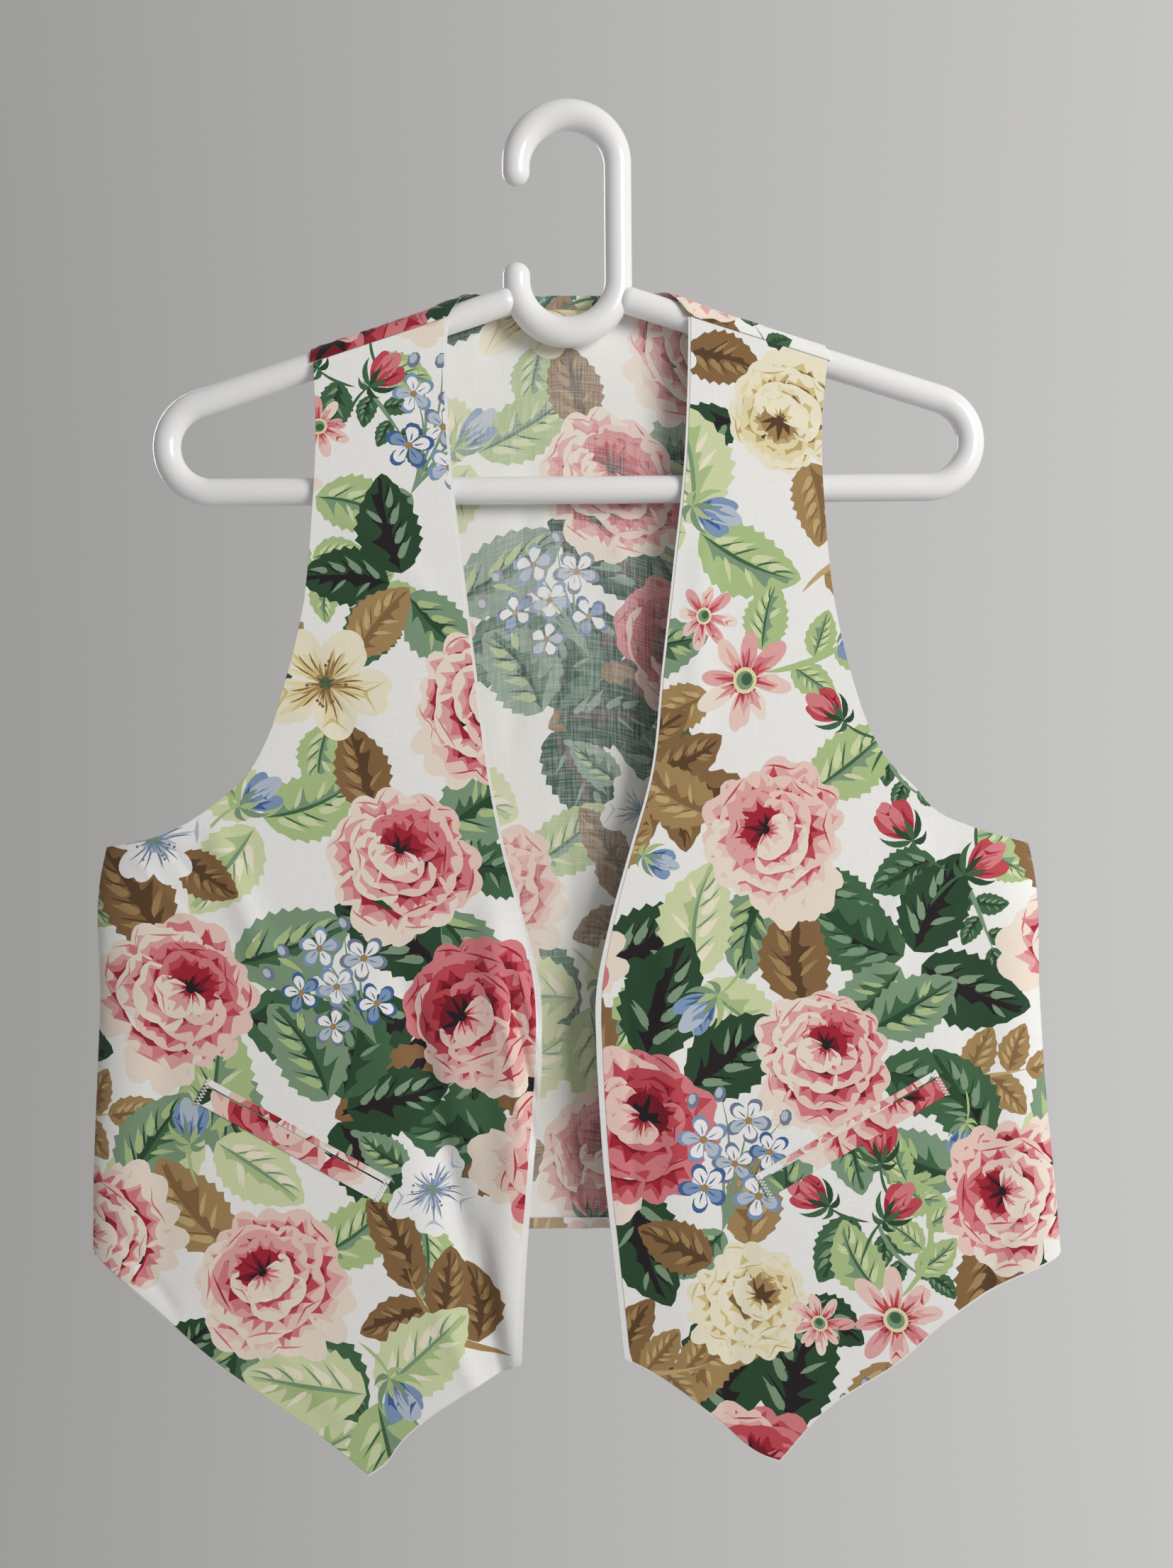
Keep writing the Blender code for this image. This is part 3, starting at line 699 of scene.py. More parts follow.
# Flat inks of the print, matched one by one; the ground is the bare cloth
INKS = {
    "ground": "#f8f8f6",
    "black": "#231c20",
    "wine": "#7d1528",
    "red": "#a92336",
    "coral": "#c94c58",
    "pink": "#de838a",
    "blush": "#eaaeac",
    "shell": "#f3d3c9",
    "cream": "#f6e8da",
    "pine": "#2b4c33",
    "green": "#446b4a",
    "sage": "#83a082",
    "lime": "#b3ca8f",
    "pale": "#d9e2b3",
    "umber": "#5f452c",
    "brown": "#8c6b45",
    "tan": "#ab8c5d",
    "sand": "#cbb07c",
    "straw": "#dcca8c",
    "butter": "#efe4b6",
    "ivory": "#f6efd6",
    "blue": "#45699f",
    "sky": "#84a0c4",
    "mist": "#bfcbd9",
    "slate": "#78849a",
    "white": "#fafafa",
}
INK_NAMES = list(INKS)
INK_TABLE = np.array([linear(INKS[name]) for name in INK_NAMES], dtype=np.float32)

# The same inks on the wrong side: each with a share of the bare cloth, the greens greyer and bluer
BEHIND_PAPER = "#f2f0ec"
BEHIND_SHARE = 0.84
BEHIND_GREENS = {"pine": "#4c6a60", "green": "#6b8979", "sage": "#98ae9f"}
PAPER = np.array(linear(BEHIND_PAPER), dtype=np.float32)
BEHIND_TABLE = INK_TABLE * BEHIND_SHARE + PAPER * (1 - BEHIND_SHARE)
for green, paler in BEHIND_GREENS.items():
    BEHIND_TABLE[INK_NAMES.index(green)] = linear(paler)


def placed(shapes, x, y, angle, size):
    """Shapes turned by an angle in degrees, sized, and moved."""
    turn = np.radians(angle)
    spin = np.array([[np.cos(turn), np.sin(turn)], [-np.sin(turn), np.cos(turn)]])
    return [(ink, points @ spin * size + (x, y)) for ink, points in shapes]


def disc(x, y, wide, high, count):
    """An oval spot."""
    turn = np.linspace(0, 2 * np.pi, count, endpoint=False)
    return np.stack([x + wide * np.cos(turn), y + high * np.sin(turn)], axis=1)


def stroke(points, width, count=7):
    """A brush stroke along a bent line through three points: wide near its start, pointed at the ends."""
    first, middle, last = np.asarray(points, dtype=float)
    t = np.linspace(0, 1, count)[:, None]
    bend = middle * 2 - (first + last) / 2
    path = (1 - t) ** 2 * first + 2 * t * (1 - t) * bend + t**2 * last
    way = np.gradient(path, axis=0)
    way /= np.linalg.norm(way, axis=1, keepdims=True) + 1e-12
    side = np.stack([-way[:, 1], way[:, 0]], axis=1) * width / 2 * np.sin(np.pi * t**0.7)
    return np.concatenate([path + side, (path - side)[-2:0:-1]])


def licks(place, rng, count, low, high, first=0.0, last=1.0, foot=0.0, lean=0.0):
    """A mass of shade whose edge rises in pointed licks, uneven in height, with rounded valleys.
    place turns (across, up) into points; the mass stands on the line up = foot."""
    marks = np.linspace(first, last, count + 1)
    step = (last - first) / count
    marks[1:-1] += rng.uniform(-0.28, 0.28, count - 1) * step
    valleys = low * rng.uniform(0.5, 1.0, count + 1)
    valleys[[0, -1]] *= 0.3
    tips = rng.uniform(low, high, count)
    turns = marks[:-1] + (0.5 + rng.uniform(-0.2, 0.2, count)) * np.diff(marks)
    share = np.array([0.0, 0.45, 0.8, 1.0])
    climb = share**1.7
    rise_t = marks[:-1, None] + (turns - marks[:-1])[:, None] * share
    rise_s = valleys[:-1, None] + (tips - valleys[:-1])[:, None] * climb
    fall_t = marks[1:, None] + (turns - marks[1:])[:, None] * share[2:0:-1]
    fall_s = valleys[1:, None] + (tips - valleys[1:])[:, None] * climb[2:0:-1]
    t = np.append(np.concatenate([rise_t, fall_t], axis=1).ravel(), marks[-1])
    s = np.append(np.concatenate([rise_s, fall_s], axis=1).ravel(), valleys[-1])
    base = np.linspace(last, first, count + 2)
    across = np.concatenate([t + lean * step * s / max(high, 0.1), base])
    return place(across, np.concatenate([foot + s, np.full(len(base), foot)]))


def petal_plane(rng, centre, middle, wide, foot, rim, lobes=2, notch=0.08, squash=0.94, round_off=0.32):
    """A petal's own plane: the first number runs across it from 0 to 1, the second from its foot at 0
    to its rim at 1. The rim has soft lobes with a notch between them."""
    start = rng.uniform(0, 1)
    depth = notch * rng.uniform(0.6, 1.4)
    swell = rng.uniform(-0.06, 0.06)

    def place(t, s):
        t, s = np.asarray(t, dtype=float), np.asarray(s, dtype=float)
        inside = np.clip(t, 0, 1)
        wave = np.abs(np.sin(np.pi * (lobes * inside + start))) ** 0.55
        lobe = 1 - depth * (1 - wave) + swell * (inside - 0.5)
        rounded = np.sin(np.pi * np.clip(inside, 0.001, 0.999)) ** round_off
        reach = foot + (rim * lobe - foot) * rounded * s
        angle = np.radians(middle + (t - 0.5) * wide)
        x = centre[0] + reach * np.cos(angle)
        return np.stack([x, centre[1] + reach * np.sin(angle) * squash], axis=1)

    return place


def whole(place, count=17, low=0.0, high=1.0, first=0.0, last=1.0):
    """The part of a petal between two heights."""
    t = np.linspace(first, last, count)
    base = t[::-2]
    return np.concatenate([place(t, np.full(count, high)), place(base, np.full(len(base), low))])


def petal(rng, place, inks, count=5, turned=0.5):
    """A petal in four tones: a pale rim, then body, shade and dark, each rising in licks from the
    foot. Some have a bit of rim that curls over, with shade under it."""
    rim, body, shade, dark = inks
    lean = rng.uniform(-0.5, 0.5)
    shapes = [(rim, whole(place))]
    shapes.append((body, licks(place, rng, count, 0.62, 0.92, 0.04, 0.96, lean=lean)))
    if rng.random() < turned:
        start = rng.uniform(0.12, 0.4)
        end = start + rng.uniform(0.3, 0.45)
        deep = rng.uniform(0.2, 0.34)
        t = np.linspace(start, end, 8)
        bow = np.clip(np.sin(np.pi * (t - start) / (end - start)), 0, 1)
        arch = 0.98 - deep * bow**0.8
        under = np.concatenate([place(t, arch - 0.09 * bow), place(t[::-1], arch[::-1] + 0.02)])
        shapes.append((shade, under))
        shapes.append((rim, np.concatenate([place(t, arch), place(t[::-1], np.full(8, 1.0))])))
    shapes.append((shade, licks(place, rng, count, 0.26, 0.78, 0.02, 0.98, lean=lean)))
    shapes.append((dark, licks(place, rng, max(3, count - 1), 0.1, 0.42, 0.03, 0.97, lean=lean)))
    return shapes


# Where the light on a rose comes from, in degrees round it
ROSE_LIGHT = 205
# Rings of a rose: how far its petals reach and where they start, how many, and its shift to the heart
ROSE_RINGS = ((1.0, 0.66, 6, 0.0), (0.80, 0.5, 5, 0.3), (0.63, 0.36, 4, 0.6), (0.47, 0.2, 4, 0.9))
# Tones of a rose, each as rim, body, shade and dark: petals in the light, between, and in shadow
ROSE_TONES = {
    "red": ("shell blush coral red", "pink coral red wine", "coral red wine black"),
    "pink": ("cream blush pink red", "shell pink coral wine", "pink coral red wine"),
    "pale": ("cream shell pink coral", "shell blush coral red", "blush pink red wine"),
    "yellow": ("ivory ivory straw brown", "ivory butter sand brown", "butter sand tan umber"),
}


def rose(seed, kind):
    """A cabbage rose seen a little from below its rim: rings of petals that close in on a dark heart.
    Petals on its lit side are pale, those on the far side and behind the heart are in shade."""
    rng = np.random.default_rng(seed)
    light, middle, shadow = (tones.split() for tones in ROSE_TONES[kind])
    heart = np.array([rng.uniform(-0.12, 0.12), 0.2])
    shapes = []
    faint = ("ivory ivory butter straw" if kind == "yellow" else "cream cream shell blush").split()
    for turn in rng.uniform(215, 325, 2):
        place = petal_plane(rng, (0, 0), turn, 60, 0.7, rng.uniform(1.15, 1.3), 3, 0.16)
        shapes += petal(rng, place, faint, 5, 0.0)
    for level, (reach, foot, count, shift) in enumerate(ROSE_RINGS):
        start = rng.uniform(0, 360)
        turns = start + np.arange(count) * 360 / count + rng.uniform(-12, 12, count)
        turns = turns[np.argsort(-np.sin(np.radians(turns)))]
        for turn in turns:
            up = np.sin(np.radians(turn))
            lit = np.cos(np.radians(turn - ROSE_LIGHT))
            tones = light if lit > rng.uniform(-0.35, 0.45) else middle
            if level >= 2 and up > -0.1:
                tones = shadow if up > 0.35 else middle
            wide = 360 / count * rng.uniform(1.2, 1.45)
            rim = reach * rng.uniform(0.92, 1.08)
            lobes, notch = (2, 0.1) if level else (3, 0.14)
            place = petal_plane(rng, heart * shift, turn, wide, foot, rim, lobes, notch)
            shapes += petal(rng, place, tones, 5 if level < 2 else 4, 0.6 if level < 2 else 0.25)
    place = petal_plane(rng, heart - (0, 0.1), 90, 230, 0.01, 0.48, 1, 0.02)
    shapes.append((shadow[2], disc(heart[0], heart[1], 0.28, 0.22, 14)))
    shapes.append((shadow[2], licks(place, rng, 7, 0.5, 1.1)))
    shapes.append((shadow[3], licks(place, rng, 6, 0.45, 0.9, 0.03, 0.97)))
    shapes.append(("umber" if kind == "yellow" else "black", licks(place, rng, 6, 0.25, 0.7, 0.1, 0.9)))
    for turn, reach in ((222, 0.36), (318, 0.33), (266, 0.4)):
        place = petal_plane(rng, heart - (0.0, 0.05), turn, 96, 0.06, reach, 2, 0.14)
        shapes += petal(rng, place, light, 3, 0.0)
    return shapes


# Tones of a leaf: body, shade along the midrib, pale licks between the veins, veins, and the darkest
LEAF_TONES = {
    "dark": ("pine", "black", "sage", "black", "black"),
    "green": ("green", "pine", "sage", "pine", "black"),
    "sage": ("sage", "green", "lime", "pine", "pine"),
    "lime": ("lime", "sage", "pale", "green", "sage"),
    "pale": ("pale", "lime", "ivory", "sage", "lime"),
    "brown": ("brown", "umber", "tan", "umber", "umber"),
    "tan": ("tan", "brown", "sand", "brown", "brown"),
    "night": ("brown", "black", "tan", "black", "black"),
}


def leaf(seed, kind, wide=0.62, teeth=9):
    """A leaf from its stalk at 0 to its tip at (1, 0), with fine teeth. One half has shade that licks
    up from the midrib, the other has pale licks between its veins."""
    rng = np.random.default_rng(seed)
    body, shade, glow, vein, deep = LEAF_TONES[kind]
    bend = rng.uniform(-0.2, 0.2)
    half = 1 if rng.random() < 0.5 else -1

    def place(u, s):
        u, s = np.asarray(u, dtype=float), np.asarray(s, dtype=float)
        inside = np.clip(u, 0, 1)
        breadth = wide / 2 * np.sin(np.pi * inside**0.8) ** 0.75
        return np.stack([u, bend * (inside - inside**2) * 2 + breadth * s], axis=1)

    u = np.linspace(0, 1, teeth * 3 + 1)
    saw = 1 + np.array([-0.05, 0.0, 0.09])[np.arange(len(u)) % 3]
    shapes = [(body, np.concatenate([place(u, saw), place(u, -saw)[-2:0:-1]]))]

    def near(t, s):
        return place(t, half * np.asarray(s, dtype=float))

    def other(t, s):
        return place(t, -half * np.asarray(s, dtype=float))

    shapes.append((shade, licks(near, rng, 5, 0.22, 0.74, 0.03, 0.93, lean=0.8)))
    if kind in ("dark", "green", "sage", "brown", "night"):
        shapes.append((deep, licks(other, rng, 3, 0.12, 0.42, 0.02, 0.5, lean=0.6)))
    for foot in np.array([0.14, 0.32, 0.50, 0.66]) + rng.uniform(-0.03, 0.03, 4):
        reach = rng.uniform(0.62, 0.86) * (1 - 0.25 * foot)
        points = other([foot, foot + 0.07, foot + 0.2], [0.14, reach * 0.5, reach])
        shapes.append((glow, stroke(points, 0.07, 7)))
        heights = reach * np.array([0.35, 0.5, 0.78])
        shapes.append((glow, stroke(other([foot + 0.05, foot + 0.12, foot + 0.14], heights), 0.05, 5)))
        points = other([foot + 0.05, foot + 0.14, foot + 0.26], [0.0, reach * 0.45, reach * 0.95])
        shapes.append((vein, stroke(points, 0.022, 5)))
    shapes.append((vein, stroke(place([0, 0.5, 0.94], [0, 0.02, 0]), 0.035, 8)))
    for foot in rng.uniform(0.2, 0.7, 2):
        shapes.append((glow, stroke(near([foot, foot + 0.08, foot + 0.15], [0.12, 0.4, 0.72]), 0.045, 6)))
    return shapes


def stalk(points, width, ink):
    """A thin stalk through three points, as one long brush stroke."""
    return [(ink, stroke(points, width, 11))]


def sprig(seed, kind, count=5, ink="tan", leaf_size=0.42):
    """Leaves in pairs along a bent stalk that runs from 0 to about (1, 0), with one at its end."""
    rng = np.random.default_rng(seed)
    bend = rng.uniform(-0.2, 0.2)
    shapes = []
    for i in range(count):
        u = 0.2 + 0.62 * i / count
        side = 1 if i % 2 else -1
        turn = side * rng.uniform(38, 64)
        one = leaf(seed * 17 + i, kind, 0.6, 6)
        shapes += placed(one, u, 4 * bend * u * (0.9 - u), turn, leaf_size - 0.02 * i)
    shapes += placed(leaf(seed * 17 + 99, kind, 0.55, 6), 0.80, 0.0, -bend * 90, leaf_size)
    return shapes + stalk([(0, 0), (0.42, bend), (0.86, 0)], 0.045, ink)


DAISY_TONES = ("cream blush pink red", "shell blush coral red", "blush pink coral wine")


def daisy(seed):
    """An open flower of eight ragged petals, streaked from the foot, round a green button."""
    rng = np.random.default_rng(seed)
    shapes = []
    for turn in rng.permutation(8) * 45 + rng.uniform(-6, 6, 8):
        place = petal_plane(rng, (0, 0), turn, 52, 0.12, rng.uniform(0.84, 1.08), 1, 0.22, 0.95, 0.75)
        tones = DAISY_TONES[rng.integers(3)].split()
        shapes += petal(rng, place, tones, 3, 0.25)
    shapes.append(("butter", disc(0, 0, 0.25, 0.22, 14)))
    shapes.append(("sage", disc(0, 0, 0.18, 0.16, 12)))
    shapes.append(("green", disc(0.03, -0.03, 0.12, 0.10, 9)))
    for turn in np.arange(12) * np.pi / 6:
        shapes.append(("umber", disc(0.27 * np.cos(turn), 0.24 * np.sin(turn), 0.02, 0.02, 5)))
    return shapes


def blossom(seed, tones=("ivory", "butter", "straw", "tan"), line="brown", eye="green"):
    """A loose five-petalled blossom with drawn lines and stamens round a small green eye."""
    rng = np.random.default_rng(seed)
    shapes = []
    for i in rng.permutation(5):
        turn = 90 + i * 72 + rng.uniform(-8, 8)
        place = petal_plane(rng, (0, 0), turn, 84, 0.08, rng.uniform(0.85, 1.08), 2, 0.16, 0.92, 0.42)
        shapes += petal(rng, place, tones, 4, 0.6)
        for t in (0.3, 0.5, 0.68):
            points = place([t, t + 0.04, t], [0.1, 0.4, rng.uniform(0.5, 0.75)])
            shapes.append((line, stroke(points, 0.028, 5)))
    place = petal_plane(rng, (0, 0), 90, 300, 0.02, 0.22, 1, 0.0)
    shapes.append((eye, disc(0, 0, 0.1, 0.09, 9)))
    shapes.append((eye, licks(place, rng, 7, 0.4, 1.0)))
    for turn in rng.uniform(0, 2 * np.pi, 9):
        tip = np.array([np.cos(turn), np.sin(turn)]) * rng.uniform(0.26, 0.4)
        shapes.append((line, stroke([(0, 0), tip * 0.55, tip], 0.03, 4)))
        shapes.append((line, disc(*tip, 0.03, 0.03, 5)))
    return shapes


def floret(seed, tone, line):
    """A small five-petalled flower: each petal outlined, paler inside, with a streak."""
    rng = np.random.default_rng(seed)
    shapes = []
    for i in range(5):
        turn = 90 + i * 72 + rng.uniform(-5, 5)
        place = petal_plane(rng, (0, 0), turn, 74, 0.08, 1.0, 1, 0.1, 0.95, 0.45)
        shapes.append((line, whole(place, 9)))
        shapes.append((("white", tone)[i % 2], whole(place, 8, 0.0, 0.8, 0.1, 0.84)))
        shapes.append((line, stroke(place([0.5, 0.44, 0.5], [0.1, 0.3, 0.6]), 0.07, 4)))
    shapes.append(("tan", disc(0, 0, 0.17, 0.16, 6)))
    return shapes


def posy(seed):
    """A loose bunch of small blue and grey flowers, with buds, on thin stalks."""
    rng = np.random.default_rng(seed)
    spots = np.array([(0.02, 0.12), (0.6, 0.34), (-0.56, 0.36), (0.06, 0.82), (-0.34, -0.42), (0.48, -0.4)])
    spots += rng.uniform(-0.06, 0.06, spots.shape)
    buds = np.array([(-0.86, 0.9), (0.66, 0.98), (-0.46, 1.1)])
    shapes = []
    for x, y in np.concatenate([spots, buds]):
        shapes += stalk([(0.1, -1.05), (x * 0.35 + 0.08, y * 0.5 - 0.35), (x, y)], 0.045, "sage")
    for x, y in buds:
        shapes += [("slate", disc(x, y, 0.1, 0.14, 8)), ("mist", disc(x - 0.02, y + 0.02, 0.06, 0.09, 7))]
    for i, (x, y) in enumerate(spots):
        tone, line = (("mist", "sky"), ("mist", "slate"), ("sky", "blue"))[(seed + i) % 3]
        turn, size = rng.uniform(0, 72), rng.uniform(0.36, 0.44)
        shapes += placed(floret(seed * 13 + i, tone, line), x, y, turn, size)
    return shapes


# Tones of a bud: its lit and shaded petals, and its two sepal greens
BUD_TONES = {
    "red": ("pink coral red wine", "coral red wine black", "green pine"),
    "blue": ("mist sky blue slate", "sky blue blue slate", "lime sage"),
}
# Petals of a bud from back to front: turn, width and reach, and 1 where lit
BUD_PETALS = ((24, 60, 0.9, 0), (-26, 60, 0.92, 0), (4, 62, 1.0, 1), (-8, 40, 0.8, 1))
# Sepals of a bud: turn and length, and 1 for the darker green
SEPALS = ((46, 0.66, 0), (-44, 0.62, 1), (14, 0.5, 1), (-18, 0.42, 0), (95, 0.34, 0), (-95, 0.34, 1))


def bud(seed, kind):
    """A half-open bud that points along +x from its stalk, in a cup of long pointed sepals."""
    rng = np.random.default_rng(seed)
    light, dark, greens = (tones.split() for tones in BUD_TONES[kind])
    shapes = stalk([(-0.95, -0.16), (-0.4, 0.02), (0.06, 0)], 0.07, greens[0])
    for turn, wide, reach, lit in BUD_PETALS:
        place = petal_plane(rng, (0, 0), turn, wide, 0.05, reach, 2, 0.12, 0.85, 0.6)
        shapes += petal(rng, place, light if lit else dark, 3, 0.4)
    for turn, length, darker in SEPALS:
        side = np.radians(turn)
        tip = length * np.array([np.cos(side), np.sin(side)])
        middle = length * 0.55 * np.array([np.cos(side * 1.4), np.sin(side * 1.4)])
        shapes.append((greens[darker], stroke([(-0.02, 0), middle, tip], 0.13, 7)))
    return shapes


# One repeat of the print, in metres, and the scales of its layout and of its groups
REPEAT = (0.44, 0.66)
PRINT_SCALE = 1.1
GROUP_SCALE = 1.38
# The most that a group reaches from its middle
GROUP_REACH = 0.09


def leaves(seed, kinds, turns, reach, length):
    """Leaves that point outwards all round a flower, each standing at the flower's reach."""
    shapes = []
    rng = np.random.default_rng(seed)
    for i, (kind, turn) in enumerate(zip(kinds.split(), turns)):
        side = np.radians(turn)
        at = reach * rng.uniform(0.75, 1.0)
        askew, size = rng.uniform(-22, 22), length * rng.uniform(0.85, 1.15)
        one = leaf(seed * 31 + i, kind)
        shapes += placed(one, at * np.cos(side), at * np.sin(side), turn + askew, size)
    return shapes


def shadow_of(seed, reach):
    """The near-black gaps behind a flower and between its leaves."""
    rng = np.random.default_rng(seed)
    place = petal_plane(rng, (0, 0), rng.uniform(0, 360), 300, 0.0, reach, 1, 0.0)
    return [("black", licks(place, rng, 7, 0.7, 1.15))]


# Leaves behind the flowers of each group: their kinds and turns, and how far out they stand and how
# long they are, in metres
COLLARS = {
    "red_rose": ("dark dark night green dark", (72, 118, 160, 205, -48), 0.026, 0.042),
    "pink_rose": ("green sage sage brown", (18, 62, -38, 140), 0.025, 0.039),
    "pale_rose": ("sage green lime tan", (200, 250, -12, 100), 0.024, 0.037),
    "yellow_rose": ("dark tan brown tan", (35, 140, 185, -70), 0.021, 0.034),
    "blossom": ("tan tan lime", (70, 150, -60), 0.017, 0.030),
    "white_blossom": ("sage lime brown", (95, 215, -30), 0.016, 0.033),
    "daisies": ("tan lime", (120, -20), 0.016, 0.030),
    "pale_leaves": ("pale pale lime", (25, 140, -75), 0.003, 0.044),
    "red_buds": ("green lime", (210, -25), 0.010, 0.026),
    "green_leaves": ("dark green sage dark", (15, 75, 140, -70), 0.005, 0.039),
}
# How far each kind of rose reaches, and the dark gaps behind it where it has them, in metres
ROSES = {"red": (0.031, 0.034), "pink": (0.030, 0.029), "pale": (0.029, 0), "yellow": (0.024, 0)}
# Red buds of one group: place in metres, and turn
RED_BUDS = ((-0.014, 0.004, 118), (0.012, 0.008, 66), (0.002, -0.012, 20))


def spray(kind, seed):
    """A flower group of the print in metres, as what lies under and what lies over its neighbours."""
    one = seed * 7
    under, over = leaves(one, *COLLARS[kind]) if kind in COLLARS else [], []
    if kind.endswith("_rose"):
        tone = kind.removesuffix("_rose")
        reach, gaps = ROSES[tone]
        under = shadow_of(one, gaps) + under if gaps else under
        over = placed(rose(seed, tone), 0, 0, 0, reach)
    elif kind == "blossom":
        over = placed(blossom(seed), 0, 0, 0, 0.025)
    elif kind == "white_blossom":
        over = placed(blossom(seed, ("white", "white", "mist", "sky"), "slate", "sage"), 0, 0, 0, 0.023)
    elif kind == "daisies":
        under += placed(sprig(one + 1, "lime", 4, "lime", 0.36), 0.004, -0.006, -55, 0.055)
        over = placed(daisy(seed + 1), 0.021, 0.019, 0, 0.013) + placed(daisy(seed), 0, 0, 0, 0.020)
    elif kind == "posy":
        under = placed(leaf(one, "sage"), 0.003, -0.024, -120, 0.024)
        over = placed(posy(seed), 0, 0, 0, 0.023)
    elif kind == "pale_leaves":
        over = placed(bud(seed, "blue"), 0.008, 0.004, -80, 0.019)
    elif kind == "red_buds":
        under += placed(sprig(one + 1, "green", 4, "sage", 0.34), 0.0, -0.008, -80, 0.040)
        for i, (x, z, turn) in enumerate(RED_BUDS):
            over += placed(bud(seed + i, "red"), x, z, turn, 0.018)
    elif kind == "brown_sprig":
        under = placed(sprig(seed, "brown", 5, "tan", 0.5), -0.030, -0.006, 8, 0.064)
    elif kind == "tan_sprig":
        under = placed(sprig(seed, "tan", 4, "sand", 0.46), -0.022, 0.004, -12, 0.05)
        over = placed(bud(seed + 1, "blue"), -0.012, -0.016, -120, 0.014)
    return under, over


# Groups of one repeat: x and z in millimetres before the print's scale, turn in degrees, and size in
# hundredths
LAYOUT = (
    ("red_rose", 52, 548, -18, 108),
    ("posy", 126, 566, 10, 96),
    ("blossom", 190, 540, 30, 100),
    ("pale_leaves", 252, 570, -15, 100),
    ("pink_rose", 318, 535, 35, 100),
    ("brown_sprig", 384, 580, 60, 92),
    ("tan_sprig", 116, 502, -70, 96),
    ("white_blossom", 10, 478, 20, 92),
    ("yellow_rose", 76, 446, 150, 104),
    ("pale_rose", 156, 440, -20, 104),
    ("green_leaves", 222, 482, 20, 96),
    ("daisies", 262, 430, 12, 104),
    ("posy", 338, 456, -28, 100),
    ("red_buds", 300, 490, 25, 92),
    ("red_buds", 388, 412, -10, 100),
    ("pale_leaves", 30, 392, 60, 100),
    ("tan_sprig", 108, 372, 30, 104),
    ("red_rose", 196, 352, 48, 112),
    ("green_leaves", 322, 386, 160, 92),
    ("blossom", 286, 340, -25, 100),
    ("pink_rose", 362, 330, -60, 104),
    ("daisies", 54, 322, 80, 100),
    ("red_buds", 116, 306, 25, 92),
    ("brown_sprig", 6, 290, -35, 104),
    ("pale_leaves", 254, 276, 110, 96),
    ("pale_rose", 68, 250, 62, 100),
    ("red_buds", 150, 246, 12, 104),
    ("white_blossom", 206, 268, 0, 92),
    ("pink_rose", 322, 256, -20, 96),
    ("tan_sprig", 384, 252, 100, 100),
    ("pink_rose", 216, 196, -35, 106),
    ("green_leaves", 130, 190, 60, 100),
    ("posy", 292, 196, 30, 96),
    ("red_rose", 356, 186, 60, 96),
    ("pale_leaves", 30, 182, -60, 100),
    ("pink_rose", 90, 146, -30, 92),
    ("red_rose", 400, 116, -40, 104),
    ("tan_sprig", 162, 138, 20, 96),
    ("green_leaves", 290, 142, -15, 96),
    ("pale_leaves", 232, 130, 170, 92),
    ("white_blossom", 334, 104, 40, 80),
    ("pink_rose", 178, 82, 100, 98),
    ("posy", 46, 96, -14, 100),
    ("red_buds", 108, 82, 30, 96),
    ("pale_rose", 258, 62, 40, 104),
    ("brown_sprig", 342, 50, 130, 96),
    ("yellow_rose", 54, 34, -50, 96),
    ("daisies", 122, 24, 140, 100),
    ("tan_sprig", 10, 4, 15, 96),
    ("pale_leaves", 306, 8, 20, 100),
    ("green_leaves", 204, 14, 110, 92),
)


def print_shapes(box, shift):
    """The print's shapes that reach a box, with the repeat shifted by x and z in metres."""
    low, high = np.array(box[:2]), np.array(box[2:])
    under, over = [], []
    for number, (kind, x, z, turn, size) in enumerate(LAYOUT):
        group = spray(kind, number + 1)
        at = np.array([x, z]) / 1000 * PRINT_SCALE + shift
        first = np.ceil((low - GROUP_REACH - at) / REPEAT).astype(int)
        last = np.floor((high + GROUP_REACH - at) / REPEAT).astype(int)
        for i in range(first[0], last[0] + 1):
            for j in range(first[1], last[1] + 1):
                spot = at + np.array([i, j]) * REPEAT
                for pile, shapes in zip((under, over), group):
                    pile.extend(placed(shapes, *spot, turn, GROUP_SCALE * size / 100))
    return [s for s in under + over if (s[1].max(axis=0) > low).all() and (s[1].min(axis=0) < high).all()]


def size_of(points):
    """Area inside a loop."""
    ahead = np.roll(points, -1, axis=0)
    return abs((points[:, 0] * ahead[:, 1] - points[:, 1] * ahead[:, 0]).sum()) / 2


def simpler(shapes, least, slack):
    """Shapes without those below a least area, and without points that lie within the slack of the
    line between their neighbours."""
    kept = []
    for ink, points in shapes:
        if size_of(points) < least:
            continue
        for first in (1, 0, 1):
            before, after = np.roll(points, 1, axis=0), np.roll(points, -1, axis=0)
            run, away = after - before, points - before
            length = np.linalg.norm(run, axis=1) + 1e-9
            off = np.abs(away[:, 0] * run[:, 1] - away[:, 1] * run[:, 0]) / length
            needless = (off < slack) & (np.arange(len(points)) % 2 == first)
            if len(points) - needless.sum() >= 4:
                points = points[~needless]
        kept.append((INK_NAMES.index(ink), points))
    return kept


def shapes_over(outline, shift, least, slack):
    """The print's shapes on one piece of cloth, as fine as they need to be."""
    box = (*outline.min(axis=0), *outline.max(axis=0))
    return simpler(print_shapes(box, shift), least, slack)


# Where the repeat lies on each piece, in metres
PRINT_SHIFT = {
    "front_right": (0.0, 0.0),
    "front_left": (0.03, 0.02),
    "back": (0.11, 0.27),
    "pocket_lip_strip_right": (-0.492, -1.100),
    "pocket_lip_strip_left": (-0.209, -1.098),
    "pocket_welt_strip_right": (-0.358, -0.892),
    "pocket_welt_strip_left": (0.104, -0.448),
    "neck_facing": (0.03, 0.21),
    "hem_turn_up": (0.17, 0.06),
}
